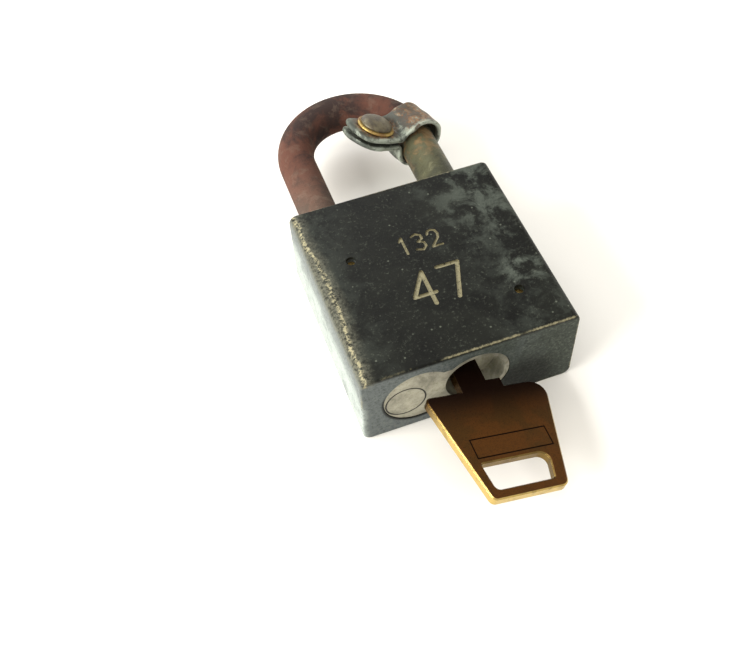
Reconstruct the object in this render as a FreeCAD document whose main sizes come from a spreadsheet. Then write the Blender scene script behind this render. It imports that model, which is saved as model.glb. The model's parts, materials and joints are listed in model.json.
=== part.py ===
import FreeCAD, Part
import math
import os
import re
import Sketcher

# Solid steel padlock lying on its back.  The origin is the middle of the back face,
# +X runs from the toe leg to the heel leg, +Y towards the shackle, +Z out of the front.
# Every length is in millimetres and every angle in degrees.

Vector = FreeCAD.Vector
Rotation = FreeCAD.Rotation
Placement = FreeCAD.Placement

X_AXIS = Vector(1, 0, 0)
Y_AXIS = Vector(0, 1, 0)
Z_AXIS = Vector(0, 0, 1)

SIZES = [
    # body block: 2 x 2 x 7/8 inch
    ("body_width", 50.8),
    ("body_height", 50.8),
    ("body_thick", 22.225),
    ("long_edge_round", 2.0),
    ("end_edge_break", 0.45),
    # shackle: 3/8 inch bar
    ("shackle_dia", 9.525),
    ("leg_spacing", 32.0),
    ("arc_rise", 25.5),
    ("toe_depth", 13.0),
    ("heel_depth", 29.0),
    ("leg_end_chamfer", 1.0),
    ("leg_bore_dia", 9.9),
    ("toe_bore_depth", 16.4),
    ("heel_bore_depth", 41.9),
    ("shackle_lift", 14.0),
    # locking balls: 1/4 inch
    ("ball_dia", 6.35),
    ("ball_row_depth", 6.5),
    ("toe_notch_depth", 1.3),
    ("heel_notch_depth", 1.0),
    ("toe_ball_travel", 3.6),
    ("heel_ball_travel", 0.6),
    ("ball_clear", 0.08),
    ("ball_channel_dia", 6.45),
    ("channel_plug_length", 3.6),
    # cylinder and its figure-eight bore
    ("plug_x", 1.2),
    ("lobe_spacing", 13.35),
    ("housing_radius", 8.15),
    ("housing_clear", 0.15),
    ("waist_half", 5.9),
    ("housing_recess", 0.2),
    ("housing_length", 30.2),
    ("clip_room_depth", 33.6),
    ("cam_bore_radius", 7.6),
    ("cam_bore_depth", 47.6),
    # plug
    ("plug_dia", 12.7),
    ("plug_clear", 0.08),
    ("plug_recess", 4.7),
    ("plug_rim_dia", 14.0),
    ("plug_rim_length", 1.6),
    ("plug_tail_end", 33.2),
    ("keyway_tilt", 15.4),
    ("keyway_thick", 2.5),
    ("keyway_low", 1.3),
    ("keyway_high", 5.5),
    ("tang_width", 3.0),
    ("tang_span", 9.0),
    ("tang_length", 2.4),
    ("clip_groove_start", 30.5),
    ("clip_thick", 1.0),
    ("clip_groove_radius", 5.4),
    ("clip_radius", 7.4),
    # pins
    ("pin_count", 5.0),
    ("pin_first_depth", 9.2),
    ("pin_pitch", 3.9),
    ("pin_dia", 2.8),
    ("pin_clear", 0.05),
    ("first_cut_height", 4.5),
    ("cut_step", 0.4),
    ("driver_length", 4.0),
    ("pin_spring_length", 7.0),
    ("pin_spring_wire", 0.32),
    ("pin_spring_turns", 9.0),
    ("cap_width", 4.2),
    ("cap_overhang", 2.6),
    ("cap_clear", 0.05),
    ("lobe_reach", 22.0),
    ("pin_lift_clear", 0.06),
    ("shear_gap", 0.12),
    ("chamber_room", 0.15),
    # actuator
    ("actuator_base_start", 33.9),
    ("actuator_base_radius", 7.45),
    ("actuator_base_length", 4.0),
    ("actuator_shaft_radius", 3.5),
    ("actuator_end", 47.2),
    ("cam_half_length", 3.0),
    ("cam_gap", 0.1),
    # cylinder screw and small pins
    ("screw_x", -15.2),
    ("screw_dia", 4.0),
    ("screw_head_dia", 7.0),
    ("screw_head_length", 2.2),
    ("screw_length", 13.0),
    ("screw_slot_width", 1.0),
    ("screw_clear", 0.2),
    ("press_clear", 0.03),
    ("disc_dia", 9.2),
    ("disc_gap", 0.12),
    ("disc_drop", 0.9),
    ("disc_thick", 2.2),
    ("dowel_dia", 2.3),
    ("dowel_recess", 1.7),
    ("lock_pin_y", 7.2),
    ("stop_pin_y", -14.0),
    # shackle spring
    ("spring_wire", 0.8),
    ("spring_mean_radius", 3.3),
    ("spring_turns", 7.5),
    ("seat_thick", 1.2),
    # key
    ("key_thick", 2.3),
    ("bow_gap", 3.9),
    ("bow_length", 26.5),
    ("shoulder_left", 14.7),
    ("shoulder_right", 15.3),
    ("bow_end_left", 9.9),
    ("bow_end_right", 7.9),
    ("bow_edge_round", 0.35),
    ("neck_low", 4.7),
    ("neck_length", 2.0),
    ("slot_start", 17.9),
    ("slot_length", 6.4),
    ("slot_near_left", 8.9),
    ("slot_near_right", 7.1),
    ("slot_far_left", 8.1),
    ("slot_far_right", 5.5),
    ("panel_start", 11.9),
    ("panel_length", 4.9),
    ("panel_half", 9.2),
    ("panel_line", 0.32),
    ("panel_cut", 0.18),
    ("blade_low", 1.2),
    ("blade_high", 5.4),
    ("blade_length", 23.6),
    ("blade_groove_width", 1.6),
    ("blade_groove_depth", 0.7),
    ("blade_groove_middle", 1.4),
    # clevis on the heel side of the shackle
    ("clevis_angle", 10.3),
    ("clevis_yaw", 16.0),
    ("clevis_inset", 0.8),
    ("clevis_roll", 27.0),
    ("strap_low", 6.4),
    ("band_width", 9.6),
    ("ear_width", 11.6),
    ("strap_thick", 1.15),
    ("strap_inner_radius", 5.95),
    ("ear_gap", 1.0),
    ("ear_reach", 19.2),
    ("ear_corner", 6.0),
    ("ear_tip_corner", 2.2),
    ("rivet_reach", 12.0),
    ("rivet_shank_dia", 4.0),
    ("rivet_head_radius", 4.3),
    ("rivet_head_rise", 2.0),
    ("washer_radius", 5.0),
    ("washer_thick", 0.7),
    # stamped numbers: height, width, stroke, gap and middle of each row
    ("stamp_depth", 0.35),
    ("large_height", 9.4),
    ("large_width", 5.0),
    ("large_stroke", 1.0),
    ("large_gap", 2.6),
    ("large_x", 0.0),
    ("large_y", -6.3),
    ("small_height", 5.0),
    ("small_width", 2.4),
    ("small_stroke", 0.62),
    ("small_gap", 1.3),
    ("small_x", 0.4),
    ("small_y", 6.9),
]
VALUES = dict(SIZES)

doc = FreeCAD.newDocument("Padlock")
sheet = doc.addObject("Spreadsheet::Sheet", "Dims")
for row, (alias, value) in enumerate(SIZES, start=1):
    sheet.set(f"A{row}", alias)
    sheet.set(f"B{row}", str(value))
    sheet.setAlias(f"B{row}", alias)
doc.recompute()


# ---------------------------------------------------------------- shared helpers

def bound(text):
    """Turn plain alias names in an expression into references to the sheet."""
    return re.sub(r"[a-z][a-z_]+", lambda word: "Dims." + word.group(0)
                  if word.group(0) in VALUES else word.group(0), text)


def number(text):
    """Value of an expression of sheet aliases."""
    result = sheet.evalExpression(bound(text))
    return float(getattr(result, "Value", result))


def bind(item, **properties):
    """Bind properties to expressions; a double underscore stands for a dot."""
    for name, text in properties.items():
        item.setExpression(name.replace("__", "."), bound(text))
    return item


def new_body(label):
    body = doc.addObject("PartDesign::Body", label)
    body.Label = label
    return body


def new_sketch(body, name, role, offset=None):
    """Sketch on one of the body's own origin planes, moved along its normal."""
    sketch = body.newObject("Sketcher::SketchObject", name)
    support = [item for item in body.Origin.OriginFeatures if item.Role == role][0]
    sketch.AttachmentSupport = [(support, "")]
    sketch.MapMode = "FlatFace"
    if offset:
        sketch.setExpression("AttachmentOffset.Base.z", bound(offset))
    return sketch


def fix_point(sketch, geometry, point, across, up):
    """Hold one point of a sketch at expressions of the sheet."""
    for kind, text in (("DistanceX", across), ("DistanceY", up)):
        item = Sketcher.Constraint(kind, -1, 1, geometry, point, number(text))
        sketch.setExpression(f"Constraints[{sketch.addConstraint(item)}]", bound(text))


def add_circle(sketch, across, up, radius):
    circle = Part.Circle(Vector(number(across), number(up), 0), Z_AXIS, number(radius))
    index = sketch.addGeometry(circle, False)
    fix_point(sketch, index, 3, across, up)
    item = Sketcher.Constraint("Radius", index, number(radius))
    sketch.setExpression(f"Constraints[{sketch.addConstraint(item)}]", bound(radius))
    return index


def add_polygon(sketch, corners):
    """Closed outline of straight lines whose corners are pairs of expressions."""
    places = [Vector(number(across), number(up), 0) for across, up in corners]
    following = places[1:] + places[:1]
    lines = [sketch.addGeometry(Part.LineSegment(start, end), False)
             for start, end in zip(places, following)]
    for line, after in zip(lines, lines[1:] + lines[:1]):
        sketch.addConstraint(Sketcher.Constraint("Coincident", line, 2, after, 1))
    for line, (across, up) in zip(lines, corners):
        fix_point(sketch, line, 1, across, up)
    return lines


def pad(body, sketch, name, length, backwards=False, centred=False):
    feature = body.newObject("PartDesign::Pad", name)
    feature.Profile = sketch
    feature.setExpression("Length", bound(length))
    feature.Reversed = backwards
    feature.Midplane = centred
    return feature


def pocket(body, sketch, name, length, backwards=False, centred=False):
    """Pocket that must remove material, which its volume shows."""
    doc.recompute()
    before = body.Shape.Volume
    feature = body.newObject("PartDesign::Pocket", name)
    feature.Profile = sketch
    feature.setExpression("Length", bound(length))
    feature.Reversed = backwards
    feature.Midplane = centred
    doc.recompute()
    if body.Shape.Volume > before - 0.01:
        raise RuntimeError(f"{name} cuts nothing")
    return feature


def edges_where(shape, test):
    return [f"Edge{place}" for place, edge in enumerate(shape.Edges, start=1) if test(edge)]


def round_edges(body, kind, name, test, size):
    """Fillet or chamfer on the edges of the body's tip that pass a test."""
    doc.recompute()
    tip = body.Tip
    feature = body.newObject(f"PartDesign::{kind}", name)
    feature.Base = (tip, edges_where(tip.Shape, test))
    feature.setExpression("Radius" if kind == "Fillet" else "Size", bound(size))
    doc.recompute()
    return feature


def along_y(name, radius, start, length, across, height):
    """Cylinder along +Y from a start depth, bound to the sheet."""
    item = doc.addObject("Part::Cylinder", name)
    item.Placement = Placement(Vector(), Rotation(X_AXIS, -90))
    bind(item, Radius=radius, Height=length, Placement__Base__x=across,
         Placement__Base__y=start, Placement__Base__z=height)
    return item


def named(item, label):
    item.Label = label
    return item


MID = "body_thick / 2"
TOP = "body_height / 2"
BOTTOM = "(0 - body_height / 2)"
PLUG_FACE = f"{BOTTOM} + plug_recess"
BALL_ROW = f"{TOP} - ball_row_depth"
LEG = "leg_spacing / 2"
TOE_BALL_X = "(0 - leg_spacing / 2 + shackle_dia / 2 + ball_dia / 2 - toe_notch_depth)"
HEEL_BALL_X = "(leg_spacing / 2 - shackle_dia / 2 - ball_dia / 2 + heel_notch_depth)"
CAM_CORNERS = 144
TURN_STEPS = 45


# ---------------------------------------------------------------- body block

def figure_eight(name, radius, waist_half, start, length):
    """Figure-eight prism along +Y: plug circle, toe-side circle and the waist between."""
    plug_round = along_y(f"{name}_plug_round", radius, start, length, "plug_x", MID)
    lobe_round = along_y(f"{name}_lobe_round", radius, start, length, "plug_x - lobe_spacing", MID)
    waist = doc.addObject("Part::Box", f"{name}_waist")
    bind(waist, Length="lobe_spacing", Width=length, Height=f"2 * ({waist_half})",
         Placement__Base__x="plug_x - lobe_spacing", Placement__Base__y=start,
         Placement__Base__z=f"{MID} - ({waist_half})")
    joined = doc.addObject("Part::MultiFuse", name)
    joined.Shapes = [plug_round, lobe_round, waist]
    joined.Refine = True
    return joined


def stamped_number(text, row):
    """Grooves of round-ended strokes for a row of plain digits, sunk into the front face."""
    height, width, stroke, gap, middle_x, middle_y = [
        VALUES[f"{row}_{size}"] for size in ("height", "width", "stroke", "gap", "x", "y")]
    # Each digit is a few strokes on a cell one unit wide and one unit high.
    strokes = {
        "1": [[(0.25, 0.8), (0.55, 1.0), (0.55, 0.0)]],
        "2": [[(0.0, 0.78), (0.18, 0.96), (0.5, 1.0), (0.86, 0.92), (1.0, 0.7), (0.86, 0.46),
               (0.0, 0.0), (1.0, 0.0)]],
        "3": [[(0.0, 0.9), (0.45, 1.0), (0.9, 0.86), (0.92, 0.66), (0.4, 0.53)],
              [(0.4, 0.53), (0.94, 0.42), (1.0, 0.18), (0.6, 0.0), (0.0, 0.1)]],
        "4": [[(0.78, 0.0), (0.78, 1.0), (0.0, 0.32), (1.0, 0.32)]],
        "7": [[(0.0, 1.0), (1.0, 1.0), (0.36, 0.0)]],
    }
    row_width = len(text) * width + (len(text) - 1) * gap
    left = middle_x - row_width / 2
    top = VALUES["body_thick"]
    grooves = []
    for place, digit in enumerate(text):
        corner = Vector(left + place * (width + gap), middle_y - height / 2, top)
        for path in strokes[digit]:
            spots = [corner + Vector(u * width, v * height, 0) for u, v in path]
            for start, end in zip(spots, spots[1:]):
                grooves.append(round_ended_groove(start, end, stroke / 2))
    return grooves


def round_ended_groove(start, end, radius):
    """Slot tool with a flat floor between two points of the front face."""
    depth = VALUES["stamp_depth"]
    side = (end - start).cross(Z_AXIS).normalize() * radius
    sink = Vector(0, 0, -depth)
    forward = (end - start).normalize() * radius
    outline = Part.Wire([
        Part.makeLine(start + side, end + side),
        Part.Arc(end + side, end + forward, end - side).toShape(),
        Part.makeLine(end - side, start - side),
        Part.Arc(start - side, start - forward, start + side).toShape(),
    ])
    return Part.Face(outline).extrude(sink * 2).translated(-sink)


def make_lock_body():
    body = new_body("body_block")
    outline = new_sketch(body, "block_outline", "XY_Plane")
    half_w, half_h = "body_width / 2", "body_height / 2"
    add_polygon(outline, [(f"(0 - {half_w})", f"(0 - {half_h})"), (half_w, f"(0 - {half_h})"),
                          (half_w, half_h), (f"(0 - {half_w})", half_h)])
    pad(body, outline, "block", "body_thick")
    doc.recompute()

    def runs_along_y(edge):
        return abs(edge.tangentAt(edge.FirstParameter).y) > 0.99

    round_edges(body, "Fillet", "long_edges", runs_along_y, "long_edge_round")

    def on_an_end(edge):
        middle = edge.BoundBox.Center
        at_end = abs(abs(middle.y) - VALUES["body_height"] / 2) < 0.01
        return at_end and edge.BoundBox.YLength < 0.01

    round_edges(body, "Fillet", "end_edges", on_an_end, "end_edge_break")

    # The XZ plane faces -Y, so depths from the top face are cut with the sketch at -top.
    top_offset = f"0 - {TOP}"
    toe_hole = new_sketch(body, "toe_hole", "XZ_Plane", top_offset)
    add_circle(toe_hole, f"0 - {LEG}", MID, "leg_bore_dia / 2")
    pocket(body, toe_hole, "toe_bore", "toe_bore_depth", backwards=True)
    heel_hole = new_sketch(body, "heel_hole", "XZ_Plane", top_offset)
    add_circle(heel_hole, LEG, MID, "leg_bore_dia / 2")
    pocket(body, heel_hole, "heel_bore", "heel_bore_depth", backwards=True)

    clip_hole = new_sketch(body, "clip_hole", "XZ_Plane", TOP)
    add_circle(clip_hole, "plug_x", MID, "housing_radius + housing_clear")
    pocket(body, clip_hole, "clip_room", "clip_room_depth")
    cam_hole = new_sketch(body, "cam_hole", "XZ_Plane", TOP)
    add_circle(cam_hole, "plug_x", MID, "cam_bore_radius")
    pocket(body, cam_hole, "cam_bore", "cam_bore_depth")
    screw_hole = new_sketch(body, "screw_hole", "XZ_Plane", TOP)
    add_circle(screw_hole, "screw_x", MID, "screw_dia / 2 + screw_clear")
    pocket(body, screw_hole, "screw_bore", "body_height - toe_bore_depth + 0.1")

    channel = new_sketch(body, "channel", "YZ_Plane", "body_width / 2")
    add_circle(channel, BALL_ROW, MID, "ball_channel_dia / 2")
    pocket(body, channel, "ball_channel", "body_width / 2 + leg_spacing / 2")

    lock_hole = new_sketch(body, "lock_hole", "XY_Plane", "body_thick")
    add_circle(lock_hole, "0 - leg_spacing / 2", "lock_pin_y", "dowel_dia / 2 + press_clear")
    pocket(body, lock_hole, "lock_pin_hole", "body_thick / 2")
    stop_hole = new_sketch(body, "stop_hole", "XY_Plane", "body_thick")
    add_circle(stop_hole, LEG, "stop_pin_y", "dowel_dia / 2 + press_clear")
    pocket(body, stop_hole, "stop_pin_hole", "body_thick - 3")
    doc.recompute()

    bore = figure_eight("cylinder_bore", "housing_radius + housing_clear", "waist_half + housing_clear",
                        f"{BOTTOM} - 1", "housing_length + housing_recess + 1.2")
    bored = doc.addObject("Part::Cut", "bored_block")
    bored.Base = body
    bored.Tool = bore

    digits = doc.addObject("Part::Feature", "stamped_digits")
    large = stamped_number("47", "large")
    small = stamped_number("132", "small")
    digits.Shape = Part.makeCompound([large[0].fuse(large[1:]), small[0].fuse(small[1:])])
    stamped = doc.addObject("Part::Cut", "lock_body")
    stamped.Base = bored
    stamped.Tool = digits
    return stamped


# ---------------------------------------------------------------- shackle, balls, spring

def ball_track(name, start_x, travel):
    """Room for a ball as it draws back while the shackle rises past it."""
    run = math.hypot(VALUES["shackle_lift"], travel)
    lean = math.degrees(math.atan2(travel, VALUES["shackle_lift"]))
    radius = "ball_dia / 2 + ball_clear"
    head = bind(doc.addObject("Part::Sphere", f"{name}_head"), Radius=radius)
    foot = bind(doc.addObject("Part::Sphere", f"{name}_foot"), Radius=radius)
    tube = bind(doc.addObject("Part::Cylinder", f"{name}_tube"), Radius=radius)
    tube.Height = run
    turn = Rotation(Z_AXIS, lean) * Rotation(X_AXIS, 90)
    tube.Placement = Placement(Vector(), turn)
    for item in (head, tube):
        bind(item, Placement__Base__x=start_x, Placement__Base__y=BALL_ROW, Placement__Base__z=MID)
    bind(foot, Placement__Base__x=f"{start_x} + {travel}",
         Placement__Base__y=f"{BALL_ROW} - shackle_lift", Placement__Base__z=MID)
    joined = doc.addObject("Part::MultiFuse", name)
    joined.Shapes = [head, foot, tube]
    return joined


def make_shackle():
    body = new_body("shackle_bar")
    path = new_sketch(body, "shackle_path", "XY_Plane", MID)
    half = number(LEG)
    arc_y = number(f"{TOP} + arc_rise")
    toe_end = number(f"{TOP} - toe_depth")
    heel_end = number(f"{TOP} - heel_depth")
    toe = path.addGeometry(Part.LineSegment(Vector(-half, toe_end, 0), Vector(-half, arc_y, 0)), False)
    round_top = Part.Circle(Vector(0, arc_y, 0), Z_AXIS, half)
    arc = path.addGeometry(Part.ArcOfCircle(round_top, 0, math.pi), False)
    heel = path.addGeometry(Part.LineSegment(Vector(half, arc_y, 0), Vector(half, heel_end, 0)), False)
    path.addConstraint(Sketcher.Constraint("Coincident", toe, 2, arc, 2))
    path.addConstraint(Sketcher.Constraint("Coincident", heel, 1, arc, 1))
    fix_point(path, toe, 1, f"0 - {LEG}", f"{TOP} - toe_depth")
    fix_point(path, toe, 2, f"0 - {LEG}", f"{TOP} + arc_rise")
    fix_point(path, heel, 1, LEG, f"{TOP} + arc_rise")
    fix_point(path, heel, 2, LEG, f"{TOP} - heel_depth")
    middle = Sketcher.Constraint("DistanceY", -1, 1, arc, 3, arc_y)
    path.setExpression(f"Constraints[{path.addConstraint(middle)}]", bound(f"{TOP} + arc_rise"))
    section = new_sketch(body, "shackle_section", "XZ_Plane", f"0 - ({TOP} - toe_depth)")
    add_circle(section, f"0 - {LEG}", MID, "shackle_dia / 2")
    bar = body.newObject("PartDesign::AdditivePipe", "bent_bar")
    bar.Profile = section
    bar.Spine = path
    doc.recompute()

    def is_end(edge):
        flat = edge.BoundBox.YLength < 0.01
        low = edge.BoundBox.YMax < VALUES["body_height"] / 2
        return flat and low

    round_edges(body, "Chamfer", "leg_ends", is_end, "leg_end_chamfer")

    toe_track = ball_track("toe_track", TOE_BALL_X, VALUES["toe_ball_travel"])
    heel_track = ball_track("heel_track", HEEL_BALL_X, -VALUES["heel_ball_travel"])
    # At full lift the heel ball runs round this neck, so the open shackle can swing.
    neck = doc.addObject("Part::Torus", "heel_neck")
    neck.Placement = Placement(Vector(), Rotation(X_AXIS, 90))
    bind(neck, Radius1=f"{LEG} - {HEEL_BALL_X} + heel_ball_travel", Radius2="ball_dia / 2 + ball_clear",
         Placement__Base__x=LEG, Placement__Base__y=f"{BALL_ROW} - shackle_lift",
         Placement__Base__z=MID)
    tools = doc.addObject("Part::MultiFuse", "shackle_cuts")
    tools.Shapes = [toe_track, heel_track, neck]
    cut = doc.addObject("Part::Cut", "shackle")
    cut.Base = body
    cut.Tool = tools
    return cut


def make_balls():
    balls = []
    for label, across in (("toe_ball", TOE_BALL_X), ("heel_ball", HEEL_BALL_X)):
        ball = named(doc.addObject("Part::Sphere", label), label)
        bind(ball, Radius="ball_dia / 2", Placement__Base__x=across, Placement__Base__y=BALL_ROW,
             Placement__Base__z=MID)
        balls.append(ball)
    return balls


def coil(name, wire, mean_radius, turns, length, place):
    """Round-wire helix of a given overall length, standing on its own placement."""
    rise = length - wire
    helix = doc.addObject("Part::Helix", f"{name}_helix")
    helix.Radius = mean_radius
    helix.Pitch = rise / turns
    helix.Height = rise
    section = doc.addObject("Part::Circle", f"{name}_section")
    section.Radius = wire / 2
    slope = math.degrees(math.atan2(rise / turns, 2 * math.pi * mean_radius))
    section.Placement = Placement(Vector(mean_radius, 0, 0), Rotation(X_AXIS, 90 + slope))
    spring = doc.addObject("Part::Sweep", name)
    spring.Sections = [section]
    spring.Spine = (helix, ["Edge1"])
    spring.Solid = True
    spring.Frenet = True
    spring.Placement = place
    return spring


def make_shackle_spring():
    """Compression spring between its seat and the end of the heel leg."""
    low = number("stop_pin_y + dowel_dia / 2 + 0.1 + seat_thick")
    high = number(f"{TOP} - heel_depth")
    gap = 0.1
    start = Vector(number(LEG), low + gap + VALUES["spring_wire"] / 2, number(MID))
    return coil("shackle_spring", VALUES["spring_wire"], VALUES["spring_mean_radius"],
                VALUES["spring_turns"], high - low - 2 * gap, Placement(start, Rotation(X_AXIS, -90)))


def make_spring_seat():
    return along_y("spring_seat", "leg_bore_dia / 2 - 0.15", "stop_pin_y + dowel_dia / 2 + 0.1",
                   "seat_thick", LEG, MID)


def dowel(label, across, along, foot):
    """Brass dowel driven in from the front face and left below the surface."""
    pin = named(doc.addObject("Part::Cylinder", label), label)
    bind(pin, Radius="dowel_dia / 2", Height=f"body_thick - dowel_recess - {foot}",
         Placement__Base__x=across, Placement__Base__y=along, Placement__Base__z=foot)
    return pin


# ---------------------------------------------------------------- cylinder

def tilted(across_depth):
    """Placement on the plug axis, tilted with the keyway: local +X points along the pins."""
    turn = Rotation(Y_AXIS, VALUES["keyway_tilt"]) * Rotation(Y_AXIS, 180)
    return Placement(Vector(VALUES["plug_x"], across_depth, number(MID)), turn)


def pin_depths():
    """Distances of the pin chambers from the bottom face, first one nearest the bow."""
    first = VALUES["pin_first_depth"]
    return [first + place * VALUES["pin_pitch"] for place in range(int(VALUES["pin_count"]))]


def pin_column(name, radius, inner, outer, depth):
    """Cylinder along the tilted pin line between two distances from the plug axis."""
    item = doc.addObject("Part::Cylinder", name)
    item.Radius = radius
    item.Height = outer - inner
    base = tilted(depth - VALUES["body_height"] / 2)
    item.Placement = base.multiply(Placement(Vector(inner, 0, 0), Rotation(Y_AXIS, 90)))
    return item


def column_group(name, radius, inner_of, outer_of):
    """One column at each pin place; the lengths may change from place to place."""
    columns = [pin_column(f"{name}_{place + 1}", radius, inner_of(place), outer_of(place), depth)
               for place, depth in enumerate(pin_depths())]
    group = doc.addObject("Part::Compound", name)
    group.Links = columns
    return group


def tilted_box(name, low, high, half_thick, start, end):
    """Box on the tilted plug frame, between two distances along the pin line."""
    box = doc.addObject("Part::Box", name)
    box.Length = high - low
    box.Width = end - start
    box.Height = 2 * half_thick
    # Turned by 180 degrees about Y, the box keeps its own +Y and runs to +X of the frame.
    base = tilted(0)
    box.Placement = base.multiply(Placement(Vector(low, start, -half_thick), Rotation()))
    return box


def cut_of(name, base, tools):
    joined = doc.addObject("Part::MultiFuse", f"{name}_tools")
    joined.Shapes = tools
    result = doc.addObject("Part::Cut", name)
    result.Base = base
    result.Tool = joined
    return result


def make_housing():
    face = f"{BOTTOM} + housing_recess"
    solid = figure_eight("housing_solid", "housing_radius", "waist_half", face, "housing_length")
    bore = along_y("housing_bore", "plug_dia / 2 + plug_clear", f"{face} - 1", "housing_length + 2",
                   "plug_x", MID)
    mouth = along_y("housing_mouth", "plug_rim_dia / 2 + plug_clear", f"{face} - 1",
                    "1 + plug_recess - housing_recess + plug_rim_length", "plug_x", MID)
    disc_seat = along_y("disc_seat", "disc_dia / 2 + disc_gap", f"{face} - 1", "1 + disc_thick",
                        "screw_x", f"{MID} - disc_drop")
    thread = along_y("screw_thread", "screw_dia / 2 + 0.05", f"{TOP} - toe_bore_depth - screw_length - 0.5",
                     "screw_length + 1", "screw_x", MID)
    chambers = column_group("chambers", VALUES["pin_dia"] / 2 + VALUES["pin_clear"],
                            lambda place: VALUES["plug_dia"] / 2 - 1.3,
                            lambda place: VALUES["lobe_reach"] - 1)
    clear = VALUES["cap_clear"]
    cap_slot = tilted_box("cap_slot", cap_floor(), VALUES["lobe_reach"],
                          VALUES["cap_width"] / 2 + clear, cap_start() - clear, cap_end() + clear)
    return cut_of("cylinder_housing", solid, [bore, mouth, disc_seat, thread, chambers, cap_slot])


def cap_floor():
    """Distance from the plug axis to the underside of the chamber cap."""
    shear = VALUES["plug_dia"] / 2 + VALUES["chamber_room"]
    return shear + VALUES["driver_length"] + VALUES["pin_spring_length"] + 0.3


def cap_start():
    return pin_depths()[0] - VALUES["body_height"] / 2 - VALUES["cap_overhang"]


def cap_end():
    return pin_depths()[-1] - VALUES["body_height"] / 2 + VALUES["cap_overhang"]


def make_chamber_cap():
    """Strip that closes the pin chambers, dressed flush with the housing."""
    strip = tilted_box("cap_strip", cap_floor() + VALUES["cap_clear"], VALUES["lobe_reach"],
                       VALUES["cap_width"] / 2, cap_start(), cap_end())
    lobe = along_y("cap_round", "housing_radius", BOTTOM, "body_height", "plug_x - lobe_spacing", MID)
    cap = doc.addObject("Part::Common", "pin_chamber_cap")
    cap.Base = strip
    cap.Tool = lobe
    return cap


def cut_height(place):
    """Height of the key's cut under one pin; the cuts step down towards the tip."""
    return VALUES["first_cut_height"] - place * VALUES["cut_step"]


def make_pins():
    radius = VALUES["pin_dia"] / 2
    shear = VALUES["plug_dia"] / 2
    driver_foot = shear + VALUES["shear_gap"]
    key_pins = column_group("key_pins", radius,
                            lambda place: cut_height(place) + VALUES["pin_lift_clear"],
                            lambda place: shear - 0.2)
    drivers = column_group("driver_pins", radius, lambda place: driver_foot,
                           lambda place: driver_foot + VALUES["driver_length"])
    return [key_pins, drivers]


def make_pin_springs():
    start = VALUES["plug_dia"] / 2 + VALUES["chamber_room"] + VALUES["driver_length"]
    wire = VALUES["pin_spring_wire"]
    springs = []
    for place, depth in enumerate(pin_depths(), start=1):
        base = tilted(depth - VALUES["body_height"] / 2)
        stand = Placement(Vector(start + 0.1 + wire / 2, 0, 0), Rotation(Y_AXIS, 90))
        springs.append(coil(f"pin_spring_{place}", wire, VALUES["pin_dia"] / 2 - wire,
                            VALUES["pin_spring_turns"], VALUES["pin_spring_length"] - 0.1,
                            base.multiply(stand)))
    group = doc.addObject("Part::Compound", "pin_springs")
    group.Links = springs
    return group


def make_plug():
    rim = along_y("plug_rim", "plug_rim_dia / 2", PLUG_FACE, "plug_rim_length", "plug_x", MID)
    barrel = along_y("plug_barrel", "plug_dia / 2", f"{PLUG_FACE} + plug_rim_length / 2",
                     "plug_tail_end - plug_recess - plug_rim_length / 2", "plug_x", MID)
    tang = doc.addObject("Part::Box", "plug_tang")
    bind(tang, Length="tang_span", Width="tang_length + 0.5", Height="tang_width",
         Placement__Base__x="plug_x - tang_span / 2",
         Placement__Base__y=f"{BOTTOM} + plug_tail_end - 0.5",
         Placement__Base__z=f"{MID} - tang_width / 2")
    solid = doc.addObject("Part::MultiFuse", "plug_solid")
    solid.Shapes = [rim, barrel, tang]
    solid.Refine = True
    face = number(PLUG_FACE)
    end = number(f"{BOTTOM} + plug_recess + blade_length") + 0.8
    keyway = tilted_box("keyway", -VALUES["keyway_low"], VALUES["keyway_high"],
                        VALUES["keyway_thick"] / 2, face - 1, end)
    groove_middle, ward_half = VALUES["blade_groove_middle"], VALUES["blade_groove_width"] / 2 - 0.1
    ward = tilted_box("ward", groove_middle - ward_half, groove_middle + ward_half, 1.0,
                      face - 2, end + 1)
    ward.Placement.Base += tilted(0).Rotation.multVec(Vector(0, 0, 1.25 + 0.55))
    warded = doc.addObject("Part::Cut", "warded_keyway")
    warded.Base = keyway
    warded.Tool = ward
    chambers = column_group("plug_chambers", VALUES["pin_dia"] / 2 + VALUES["pin_clear"],
                            lambda place: 0.5, lambda place: 8.0)
    groove_outer = along_y("groove_outer", "plug_dia / 2 + 1", f"{BOTTOM} + clip_groove_start",
                           "clip_thick + 0.1", "plug_x", MID)
    groove_inner = along_y("groove_inner", "clip_groove_radius", f"{BOTTOM} + clip_groove_start - 1",
                           "clip_thick + 3", "plug_x", MID)
    groove = doc.addObject("Part::Cut", "clip_groove")
    groove.Base = groove_outer
    groove.Tool = groove_inner
    return cut_of("plug", solid, [warded, chambers, groove])


def make_plug_clip():
    body = new_body("plug_clip")
    ring = new_sketch(body, "clip_ring", "XZ_Plane", f"0 - ({BOTTOM} + clip_groove_start + 0.05)")
    add_circle(ring, "plug_x", MID, "clip_radius")
    add_circle(ring, "plug_x", MID, "clip_groove_radius + 0.05")
    pad(body, ring, "clip_plate", "clip_thick - 0.05", backwards=True)
    opening = new_sketch(body, "clip_opening", "XZ_Plane", f"0 - ({BOTTOM} + clip_groove_start - 1)")
    low, high = f"{MID} - clip_groove_radius * 0.7", f"{MID} + clip_groove_radius * 0.7"
    add_polygon(opening, [("plug_x", low), ("plug_x + clip_radius + 1", low),
                          ("plug_x + clip_radius + 1", high), ("plug_x", high)])
    pocket(body, opening, "clip_mouth", "clip_thick + 2", backwards=False)
    return body


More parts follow.
